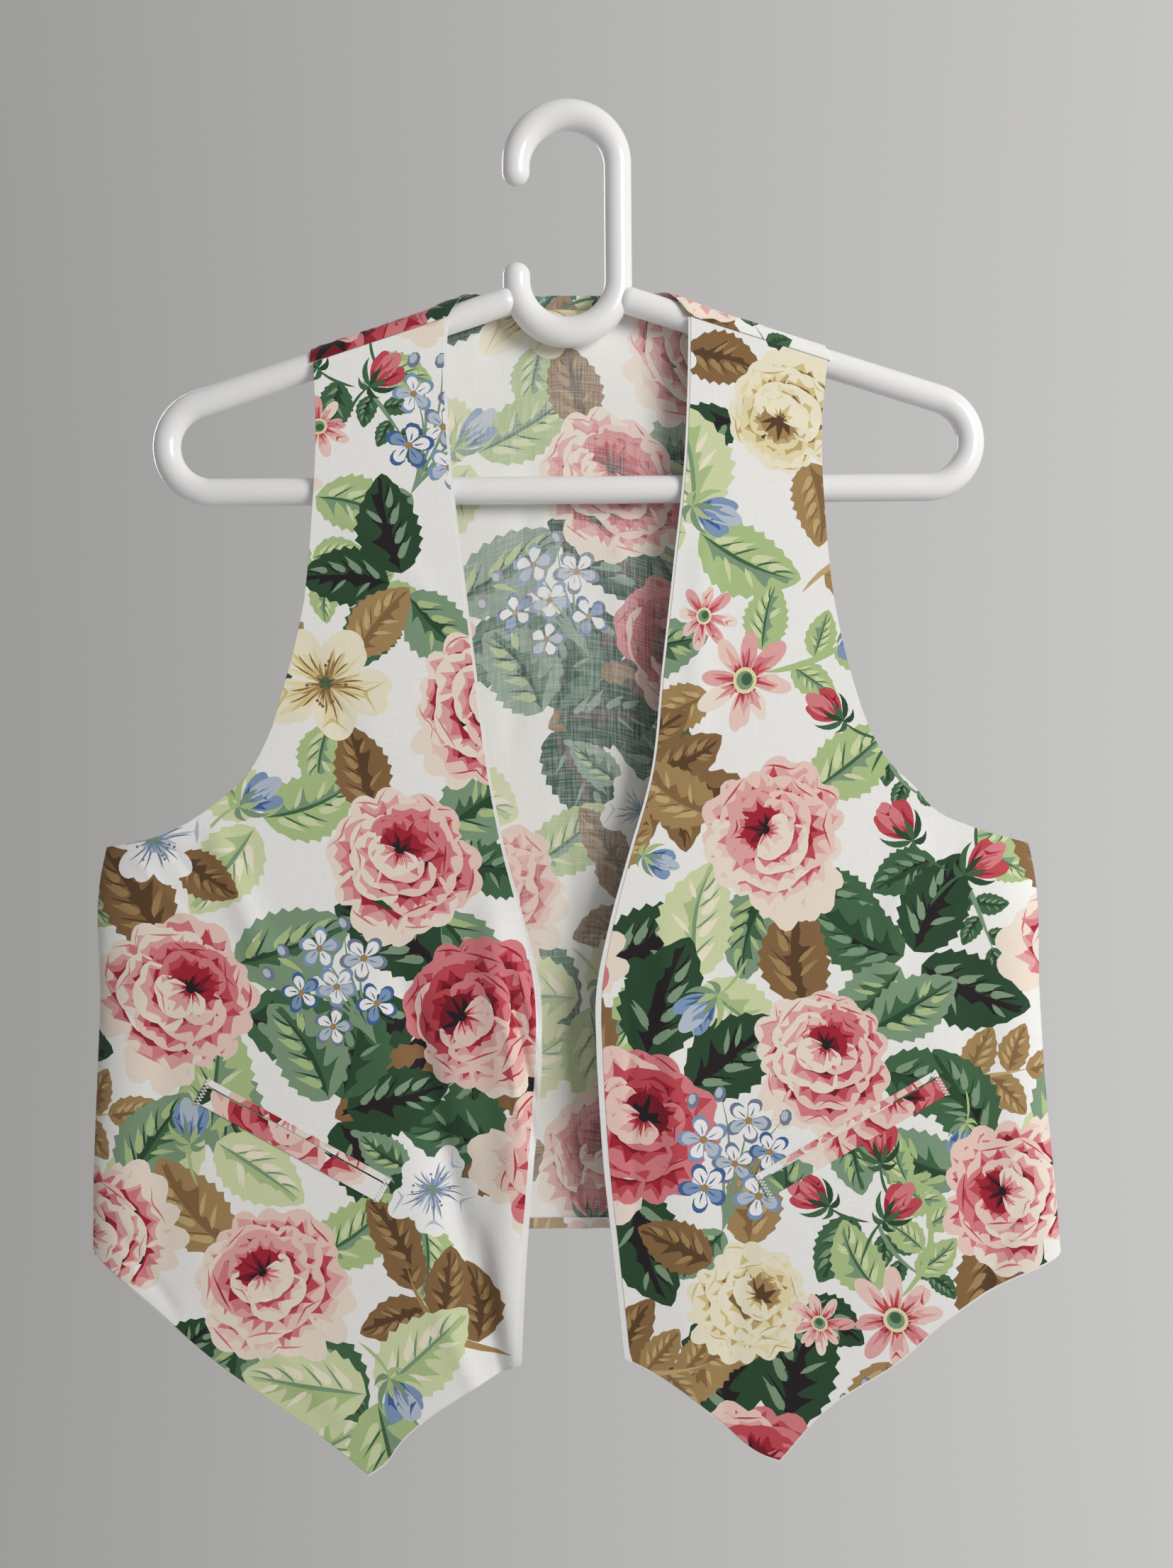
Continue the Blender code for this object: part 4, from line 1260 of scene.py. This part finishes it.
# Least area and slack of the printed shapes
FINE = (5e-7, 0.0001)
COARSE = (2.5e-6, 0.00035)


def node(tree, kind, links=(), **settings):
    """Adds a node, sets its properties and unlinked inputs, and links others' outputs to its inputs."""
    made = tree.nodes.new(kind)
    for key, value in settings.items():
        if key in made.inputs:
            made.inputs[key].default_value = value
        else:
            setattr(made, key, value)
    for socket, output in dict(links).items():
        tree.links.new(output, made.inputs[socket])
    return made


def plain(name, colour, roughness):
    """A material with one colour and roughness, which finishes then build on."""
    made = bpy.data.materials.new(name)
    made.use_nodes = True
    shader = made.node_tree.nodes["Principled BSDF"]
    shader.inputs["Base Color"].default_value = linear(colour)
    shader.inputs["Roughness"].default_value = roughness
    return made


# Threads to a metre, as drawn. The real ones lie about 0.36 mm apart, too fine to show at this size,
# so they are drawn 0.56 mm apart, and 0.9 mm apart on the wrong side, where they show most
THREADS = 1800
COARSE_THREADS = 1100
# How many spacings long a thick or thin stretch of a thread is
SLUB_LENGTH = 22


def cloth_material(name, threads, unevenness):
    """Plain-woven cotton without its colour, matt with a faint sheen: uneven threads both ways, as
    noise drawn out along each of them, on the cloth's own flat lengths. Gives the material, its tree,
    its shader and the threads from 0 to 2."""
    made = plain(name, "#ffffff", 0.8)
    tree = made.node_tree
    shader = tree.nodes["Principled BSDF"]
    shader.inputs["Specular IOR Level"].default_value = 0.25
    shader.inputs["Sheen Weight"].default_value = 0.12
    shader.inputs["Sheen Roughness"].default_value = 0.5
    spot = node(tree, "ShaderNodeUVMap", uv_map="cloth")
    runs = []
    for scale in ((threads, threads / SLUB_LENGTH, 1), (threads / SLUB_LENGTH, threads, 1)):
        drawn = node(tree, "ShaderNodeMapping", {"Vector": spot.outputs["UV"]}, Scale=scale)
        links = {"Vector": drawn.outputs["Vector"]}
        runs.append(node(tree, "ShaderNodeTexNoise", links, Scale=1.0, Detail=2.0).outputs["Fac"])
    both = node(tree, "ShaderNodeMath", {0: runs[0], 1: runs[1]}, operation="ADD")
    links = {"Height": both.outputs["Value"]}
    bump = node(tree, "ShaderNodeBump", links, Strength=unevenness, Distance=0.0002)
    tree.links.new(bump.outputs["Normal"], shader.inputs["Normal"])
    return made, tree, shader, both.outputs["Value"]


def ranged(tree, value, low, high):
    """The threads' 0.6 to 1.4 brought to another range."""
    inputs = {"From Min": 0.6, "From Max": 1.4, "To Min": low, "To Max": high}
    return node(tree, "ShaderNodeMapRange", {"Value": value}, **inputs).outputs["Result"]


def printed_cotton():
    """Screen-printed cotton, right side: flat inks, hardly broken by fine uneven threads."""
    made, tree, shader, threads = cloth_material("printed_cotton", THREADS, 0.25)
    ink = node(tree, "ShaderNodeAttribute", attribute_name="ink")
    tone = ranged(tree, threads, 0.95, 1.03)
    shaded = node(tree, "ShaderNodeVectorMath", {0: ink.outputs["Color"], "Scale": tone}, operation="SCALE")
    tree.links.new(shaded.outputs["Vector"], shader.inputs["Base Color"])
    return made


def wrong_side_cotton():
    """The print's wrong side: ink that has only partly come through, paler and cooler, broken up by
    the threads both ways."""
    made, tree, shader, threads = cloth_material("printed_cotton_wrong_side", COARSE_THREADS, 0.4)
    ink = node(tree, "ShaderNodeAttribute", attribute_name="ink")
    through = ranged(tree, threads, 0.55, 1.2)
    links = {"Fac": through, "Color2": ink.outputs["Color"]}
    washed = node(tree, "ShaderNodeMixRGB", links, Color1=linear("#efede8"))
    tree.links.new(washed.outputs["Color"], shader.inputs["Base Color"])
    return made


def white_cotton():
    """Plain-woven white lining cotton: a soft matt white with the same fine threads."""
    made, tree, shader, threads = cloth_material("white_cotton", THREADS, 0.25)
    tone = ranged(tree, threads, 0.0, 1.0)
    whites = {"Color1": linear("#eeeeec"), "Color2": linear("#f8f8f7")}
    tinted = node(tree, "ShaderNodeMixRGB", {"Fac": tone}, **whites)
    tree.links.new(tinted.outputs["Color"], shader.inputs["Base Color"])
    return made


def moulded_plastic():
    """Injection-moulded white polystyrene: a smooth gloss with the faintest waviness of the mould."""
    made = plain("gloss_plastic", "#f6f6f7", 0.2)
    tree = made.node_tree
    spot = node(tree, "ShaderNodeTexCoord")
    waves = node(tree, "ShaderNodeTexNoise", {"Vector": spot.outputs["Object"]}, Scale=60.0, Detail=1.0)
    bump = node(tree, "ShaderNodeBump", {"Height": waves.outputs["Fac"]}, Strength=0.15, Distance=0.0004)
    tree.links.new(bump.outputs["Normal"], tree.nodes["Principled BSDF"].inputs["Normal"])
    return made


def wall(cloth, outline, outer, inner, outer_rounding, inner_rounding=0.0):
    """Offsets of a wall's two faces at each point. Near the edge each face rounds away towards the
    other by its rounding: a quarter circle over the width of the edge rows."""
    distance = distance_to(cloth[0], np.concatenate([outline, outline[:1]]))
    inside = np.clip(distance / EDGE_ROWS[-1], 0, 1)
    away = 1 - np.sqrt(1 - (1 - inside) ** 2)
    return outer - outer_rounding * away, inner + inner_rounding * away


def printed_front(side, material, wrong_side):
    """A front's printed cloth: its flat cut, carried onto the front's surface."""
    outline, _ = front_outlines(side)
    shapes = shapes_over(outline, PRINT_SHIFT["front_" + side], *FINE)
    marks = np.concatenate([grid_marks(outline, GRID), crease_marks(CREASES[side])])
    cloth = cut(outline, shapes, marks, FINE[1])
    faces = wall(cloth, outline, PRINT_OUTER, PRINT_INNER, PRINT_ROUNDING)
    return sew("printed_front_" + side, cloth, front_surface(side), *faces, [material, wrong_side])


def lining(side, material):
    """A front's lining: the same surface further in, cut larger so that its rolled edge shows."""
    _, outline = front_outlines(side)
    marks = np.concatenate([grid_marks(outline, GRID), crease_marks(CREASES[side])])
    cloth = cut(outline, [], marks)
    faces = wall(cloth, outline, LINING_OUTER, LINING_INNER, LINING_ROUNDING, LINING_ROUNDING)
    return sew("rolled_lining_" + side, cloth, front_surface(side), *faces, [material])


def back_outline():
    """Loop round the back in its own lengths: neck edge and shoulder seams, armholes, sides, hem."""
    fine = np.linspace(0, 1, 60)
    halves = []
    for side in ("right", "left"):
        armhole = along(edge_points(ARMHOLE, side), fine)
        armhole[:, 0] += SIGN[side] * BACK_ARMHOLE_PROUD * ease((armhole[:, 1] - PROUD_END_Z) / PROUD_FADE)
        outer = joined(armhole, along(edge_points(SIDE, side), fine[::2]))
        outer[:, 1] = back_v(outer[:, 0], outer[:, 1])
        neck = joined(np.linspace(0, CROSSING_X, 30), np.linspace(CROSSING_X, NECK_X, 16))
        top_x = joined(neck, np.linspace(NECK_X, abs(outer[0, 0]), 20))
        top = np.stack([SIGN[side] * top_x, -neck_start(top_x)], axis=1)
        hem_x = np.linspace(abs(outer[-1, 0]), 0, 60)
        hem_z = np.interp(hem_x, BACK_HEM["x"], BACK_HEM["z"])
        hem = np.stack([SIGN[side] * hem_x, back_v(hem_x, hem_z)], axis=1)
        outer = outer[(outer[:, 1] > hem[0, 1]) & (outer[:, 1] < top[-1, 1])]
        halves.append(np.concatenate([top, outer, hem]))
    return loop([halves[0], halves[1][::-1]])


def printed_back(material, wrong_side):
    """The back's printed cloth: its flat cut, carried over the arms and down. Its print is cut a
    little coarser than the fronts', because the panel is twice as large."""
    outline = back_outline()
    shapes = shapes_over(outline, PRINT_SHIFT["back"], *COARSE)
    creases = crease_marks(CREASES["back"])
    creases[:, 1] = back_v(creases[:, 0], creases[:, 1])
    marks = np.concatenate([grid_marks(outline, BACK_GRID), creases])
    cloth = cut(outline, shapes, marks, COARSE[1])
    faces = wall(cloth, outline, PRINT_OUTER, PRINT_INNER, PRINT_ROUNDING)
    return sew("printed_back", cloth, back_surface, *faces, [material, wrong_side], -1.0)


def inside_strip(name, outline, material):
    """A strip that lies on the back's inner side."""
    shapes = shapes_over(outline, PRINT_SHIFT[name], *FINE)
    cloth = cut(outline, shapes, grid_marks(outline, STRIP_GRID), FINE[1])
    faces = wall(cloth, outline, INSIDE_OUTER, INSIDE_INNER, 0.0, INSIDE_ROUNDING)
    return sew(name, cloth, back_surface, *faces, [material, material], -1.0)


def neck_facing(material):
    """The strip under the back's neck edge, as deep all along, measured across its slant."""
    x = np.linspace(-FACING_END, FACING_END, 61)
    start = neck_start(x)
    slant = np.minimum(np.gradient(start, x) ** 2, 1)
    depth = FACING_DEPTH * np.sqrt(1 + slant)
    top = np.stack([x, -start], axis=1)
    bottom = np.stack([x, -start - depth], axis=1)
    return inside_strip("neck_facing", loop([top, bottom[::-1]]), material)


def hem_turn_up(material):
    """The strip of the back that is turned up inside, from side seam to side seam."""
    seams = {side: SEAMS[side][SEAMS[side][:, 1] > BACK_HEM["z"][-2]][-1, 0] for side in SIGN}
    x = np.linspace(seams["right"] + 0.0016, seams["left"] - 0.0016, 121)
    hem = back_v(x, np.interp(np.abs(x), BACK_HEM["x"], BACK_HEM["z"]))
    bottom = np.stack([x, hem], axis=1)
    top = np.stack([x, hem + HEM_TURN], axis=1)
    return inside_strip("hem_turn_up", loop([bottom, top[::-1]]), material)


def pocket_strip(name, side, first, last, material):
    """A strip on the front along the slanted slit: run along it, depth down from it."""
    start, run, below = pocket_frame(side)
    corners = [(0, first), (1, first), (1, last), (0, last), (0, first)]
    frame_points = np.array([start + run * POCKET_LENGTH * a + below * d for a, d in corners])
    outline = loop([along_straight(frame_points, 0.002)])
    shapes = shapes_over(outline, PRINT_SHIFT[name + side], *FINE)
    cloth = cut(outline, shapes, grid_marks(outline, STRIP_GRID), FINE[1])
    faces = wall(cloth, outline, STRIP_OUTER, STRIP_INNER, STRIP_ROUNDING)
    return sew(name + side, cloth, front_surface(side), *faces, [material, material])


def pocket_frame(side):
    """A pocket's outer end, and its unit directions along the slit and down from it."""
    x, z, slant = POCKET[side]
    slope = np.radians(slant)
    run = np.array([-SIGN[side] * np.cos(slope), -np.sin(slope)])
    below = np.array([SIGN[side] * np.sin(slope), -np.cos(slope)])
    return np.array([SIGN[side] * x, z]), run, below


def bar_tack(side, end, share, material):
    """Zigzag stitches over one end of a pocket: a round thread laid to and fro across the strips."""
    start, run, below = pocket_frame(side)
    top, bottom = -SLIT - LIP_DEPTH - TACK_OVERHANG, WELT_DEPTH + TACK_OVERHANG
    down = np.linspace(top, bottom, TACK_STITCHES)[:, None]
    swing = np.where(np.arange(TACK_STITCHES) % 2, 0.5, -0.5)[:, None] * TACK_WIDTH
    inwards = POCKET_LENGTH * share + (0.5 - share) * 2 * TACK_WIDTH * 0.6
    flat = along_straight(start + run * (inwards + swing) + below * down, 0.0004)
    place = front_surface(side)
    normal = normals_of(place, flat)
    path = place(flat[:, 0], flat[:, 1]) + normal * (STRIP_OUTER + THREAD_RADIUS * 0.6)
    tangent = np.gradient(path, axis=0)
    across = np.cross(normal, tangent)
    across /= np.linalg.norm(across, axis=1, keepdims=True)
    turn = np.linspace(0, 2 * np.pi, THREAD_SIDES, endpoint=False)[:, None]
    circle = across[:, None] * np.cos(turn) + normal[:, None] * np.sin(turn)
    rings = path[:, None] + THREAD_RADIUS * circle
    points = np.concatenate([rings.reshape(-1, 3), path[[0, -1]]])
    faces = tube_faces(len(path), THREAD_SIDES)
    return mesh_object("bar_tack_" + side + "_" + end, points, faces, [material])


def tube_faces(rows, sides):
    """Faces round rings of points, and a fan to a pole at each end. The poles come last."""
    near = np.arange(sides)
    after = (near + 1) % sides
    first = np.arange(rows - 1)[:, None] * sides
    walls = np.stack([first + near, first + after, first + after + sides, first + near + sides], axis=-1)
    start, end = rows * sides, rows * sides + 1
    far = (rows - 1) * sides
    start_cap = np.stack([np.full(sides, start), after, near], axis=1)
    end_cap = np.stack([np.full(sides, end), near + far, after + far], axis=1)
    return walls.reshape(-1, 4).tolist() + start_cap.tolist() + end_cap.tolist()


def along_straight(corners, step):
    """Points every step along straight pieces between corners."""
    pieces = []
    for start, end in zip(corners[:-1], corners[1:]):
        count = max(2, int(round(np.linalg.norm(end - start) / step)) + 1)
        pieces.append(start + (end - start) * np.linspace(0, 1, count)[:, None])
    return joined(*pieces)


def arc(centre, radius, first, last):
    """Points of an arc in the hanger's plane, between two angles in radians."""
    steps = max(2, int(round(abs(last - first) / ARC_STEP)))
    angles = np.linspace(first, last, steps + 1)
    return np.stack([centre[0] + radius * np.cos(angles), centre[1] + radius * np.sin(angles)], axis=1)


def tube(name, path, radii, material):
    """A round tube along a path in the hanger's plane: a circle at each point, and a pole at each end."""
    tangent = np.gradient(path, axis=0)
    tangent /= np.linalg.norm(tangent, axis=1, keepdims=True)
    turn = np.linspace(0, 2 * np.pi, TUBE_SIDES, endpoint=False)
    across = np.stack([-tangent[:, 1], tangent[:, 0]], axis=1)
    ring = radii[:, None] * np.cos(turn)
    x = path[:, :1] + across[:, :1] * ring
    z = path[:, 1:] + across[:, 1:] * ring
    y = radii[:, None] * np.sin(turn)
    rings = np.stack([x, y, z], axis=-1)
    poles = np.array([[path[0, 0], 0, path[0, 1]], [path[-1, 0], 0, path[-1, 1]]])
    points = np.concatenate([rings[1:-1].reshape(-1, 3), poles])
    return mesh_object(name, points, tube_faces(len(path) - 2, TUBE_SIDES), [material])


def rounded_end(point, direction, radius):
    """Points and radii that close a tube with half a ball, out to its pole."""
    angles = np.radians(np.linspace(7.5, 90, 12))
    points = np.asarray(point) + radius * np.sin(angles)[:, None] * np.asarray(direction)
    return points, radius * np.cos(angles)


def hook(material):
    """The hook: a ball tip, a half circle over the rail, a shaft, and a U that ends in a stub."""
    top = np.array([0, -top_drop()])
    foot = np.array([0, -u_drop()])
    over = arc(top, HOOK_RADIUS, np.pi, 0)
    under = arc(foot, HOOK_RADIUS, 0, -np.pi)
    tip = over[0] - (0, HOOK_TIP_DROP)
    stub = under[-1] + (0, STUB_RISE)
    shaft = along_straight(np.array([over[-1], under[0]]), TUBE_STEP)[1:-1]
    route = np.concatenate([[tip], over, shaft, under, [stub]])
    drawn = TUBE + (HOOK_TUBE - TUBE) * np.sin(np.linspace(0, np.pi, len(over)))
    bent = TUBE + (HOOK_TUBE - TUBE) * np.sin(np.linspace(0, np.pi, len(under)))
    radii = np.concatenate([[TUBE], drawn, np.full(len(shaft), TUBE), bent, [TUBE]]) / 2
    tip_points, tip_radii = rounded_end(tip, (0, -1), TUBE / 2)
    stub_points, stub_radii = rounded_end(stub, (0, 1), TUBE / 2)
    route = np.concatenate([tip_points[::-1], route, stub_points])
    radii = np.concatenate([tip_radii[::-1], radii, stub_radii])
    return tube("moulded_hook", route, radii, material)


def hanger(material):
    """The arms, end loops and bar as one tube, whose ends run into the sides of the U."""
    drop = arm_drop()
    foot = np.array([0, -u_drop()])
    loop_x = HANGER_WIDTH / 2 - TUBE / 2 - LOOP_RADIUS
    loop_z = -BAR_DROP + LOOP_RADIUS
    root = foot + HOOK_RADIUS * np.array([np.cos(drop), -np.sin(drop)])
    end_loop = arc((loop_x, loop_z), LOOP_RADIUS, np.pi / 2 - drop, -np.pi / 2)
    arm = along_straight(np.array([root, end_loop[0]]), TUBE_STEP)
    bar = along_straight(np.array([end_loop[-1], (0, end_loop[-1, 1])]), TUBE_STEP)
    half = joined(arm, end_loop, bar)
    route = joined(half, half[::-1] * (-1, 1))
    radii = np.full(len(route), TUBE / 2)
    radii[[0, -1]] = 0
    return tube("moulded_frame", route, radii, material)


def camera():
    """Level, 1 m in front of the hanger, with the photograph's frame and its slight turn."""
    scale = MM_PER_PIXEL / 1000
    centre = np.array([PHOTO_WIDTH / 2 - ORIGIN_PIXEL[0], ORIGIN_PIXEL[1] - PHOTO_HEIGHT / 2]) * scale
    cos, sin = np.cos(CAMERA_TURN), np.sin(CAMERA_TURN)
    x = centre[0] * cos + centre[1] * sin
    z = centre[1] * cos - centre[0] * sin
    lens = bpy.data.cameras.new("camera")
    lens.lens = lens.sensor_width * CAMERA_DISTANCE / (PHOTO_HEIGHT * scale)
    lens.clip_start = 0.05
    made = bpy.data.objects.new("camera", lens)
    made.matrix_world = Matrix(
        ((cos, sin, 0, x), (0, 0, -1, -CAMERA_DISTANCE), (-sin, cos, 0, z), (0, 0, 0, 1))
    )
    bpy.context.scene.collection.objects.link(made)
    bpy.context.scene.camera = made


def light(name, place, target, size, power, colour):
    """A square soft box that faces a point."""
    data = bpy.data.lights.new(name, "AREA")
    data.size = size
    data.energy = power
    data.color = linear(colour)[:3]
    made = bpy.data.objects.new(name, data)
    away = np.array(place) - np.array(target)
    away /= np.linalg.norm(away)
    side = np.cross((0, 0, 1), away)
    side /= np.linalg.norm(side)
    up = np.cross(away, side)
    rows = [(side[i], up[i], away[i], place[i]) for i in range(3)]
    made.matrix_world = Matrix(rows + [(0, 0, 0, 1)])
    bpy.context.scene.collection.objects.link(made)


def studio():
    """A pale floor well below, pale surroundings, and soft light from the right and above."""
    world = bpy.data.worlds.new("pale_room")
    world.use_nodes = True
    tree = world.node_tree
    way = node(tree, "ShaderNodeTexCoord")
    parts = node(tree, "ShaderNodeSeparateXYZ", {"Vector": way.outputs["Generated"]})
    inputs = {"From Min": -0.35, "From Max": 0.35}
    side = node(tree, "ShaderNodeMapRange", {"Value": parts.outputs["X"]}, **inputs)
    ends = {"Color1": linear("#979695"), "Color2": linear("#cbcac8")}
    shade = node(tree, "ShaderNodeMixRGB", {"Fac": side.outputs["Result"]}, **ends)
    tree.links.new(shade.outputs["Color"], tree.nodes["Background"].inputs["Color"])
    depths = {"From Min": -0.4, "From Max": 0.4, "To Min": 0.72, "To Max": 1.0}
    dimmed = node(tree, "ShaderNodeMapRange", {"Value": parts.outputs["Y"]}, **depths)
    tree.links.new(dimmed.outputs["Result"], tree.nodes["Background"].inputs["Strength"])
    bpy.context.scene.world = world
    round_floor = disc(0, 0, FLOOR_RADIUS, FLOOR_RADIUS, FLOOR_SIDES)
    points = np.concatenate([round_floor, np.full((FLOOR_SIDES, 1), FLOOR_Z)], axis=1)
    floor = mesh_object("floor", points, [tuple(range(FLOOR_SIDES))], [plain("pale_floor", "#f2f2f2", 0.8)])
    light("key", (1.1, -1.2, 0.2), (0, 0, -0.35), 0.7, 17.8, "#fffdfa")
    light("behind", (-1.1, 1.5, 0.3), (0, 0, -0.35), 0.9, 9, "#fffdfa")
    bpy.context.scene.view_settings.view_transform = "Standard"


def declare(outline):
    """Works out the area inside a panel's flat outline, which nothing uses."""
    area = float(size_of(outline))


def main():
    """Makes the camera, the studio, the finishes and the pieces, hangs each piece from the root, and hides
    the solids that each stands for.
    """
    camera()
    studio()
    cotton = printed_cotton()
    wrong = wrong_side_cotton()
    white = white_cotton()
    plastic = moulded_plastic()
    pieces = {}
    back = printed_back(cotton, wrong)
    facing = neck_facing(cotton)
    turn_up = hem_turn_up(cotton)
    frame_tube = hanger(plastic)
    for side in SIGN:
        front = printed_front(side, cotton, wrong)
        under = lining(side, white)
        lip = pocket_strip("pocket_lip_strip_", side, -SLIT - LIP_DEPTH, -SLIT, cotton)
        welt = pocket_strip("pocket_welt_strip_", side, 0, WELT_DEPTH, cotton)
        tacks = [bar_tack(side, end, share, white) for end, share in (("outer", 0), ("inner", 1))]
        pieces[front] = ("printed_cotton", "front_" + side)
        pieces[under] = ("lining_cotton", "lining_" + side)
        pieces[lip] = ("printed_cotton", "pocket_lip_" + side)
        pieces[welt] = ("printed_cotton", "pocket_welt_" + side)
        pieces.update({tack: ("lining_cotton",) for tack in tacks})
        printed, whole = front_outlines(side)
        declare(printed)
        declare(whole)
    pieces[back] = ("printed_cotton", "back")
    pieces[facing] = ("printed_cotton", "back_neck_facing")
    pieces[turn_up] = ("printed_cotton", "back_hem")
    pieces[frame_tube] = ("hanger_plastic", "hanger_frame")
    pieces[hook(plastic)] = ("hanger_plastic", "hanger_hook")
    declare(back_outline())
    for piece, (finish, *stands_for) in pieces.items():
        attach(piece, "root")
        if stands_for:
            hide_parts(*stands_for)


main()
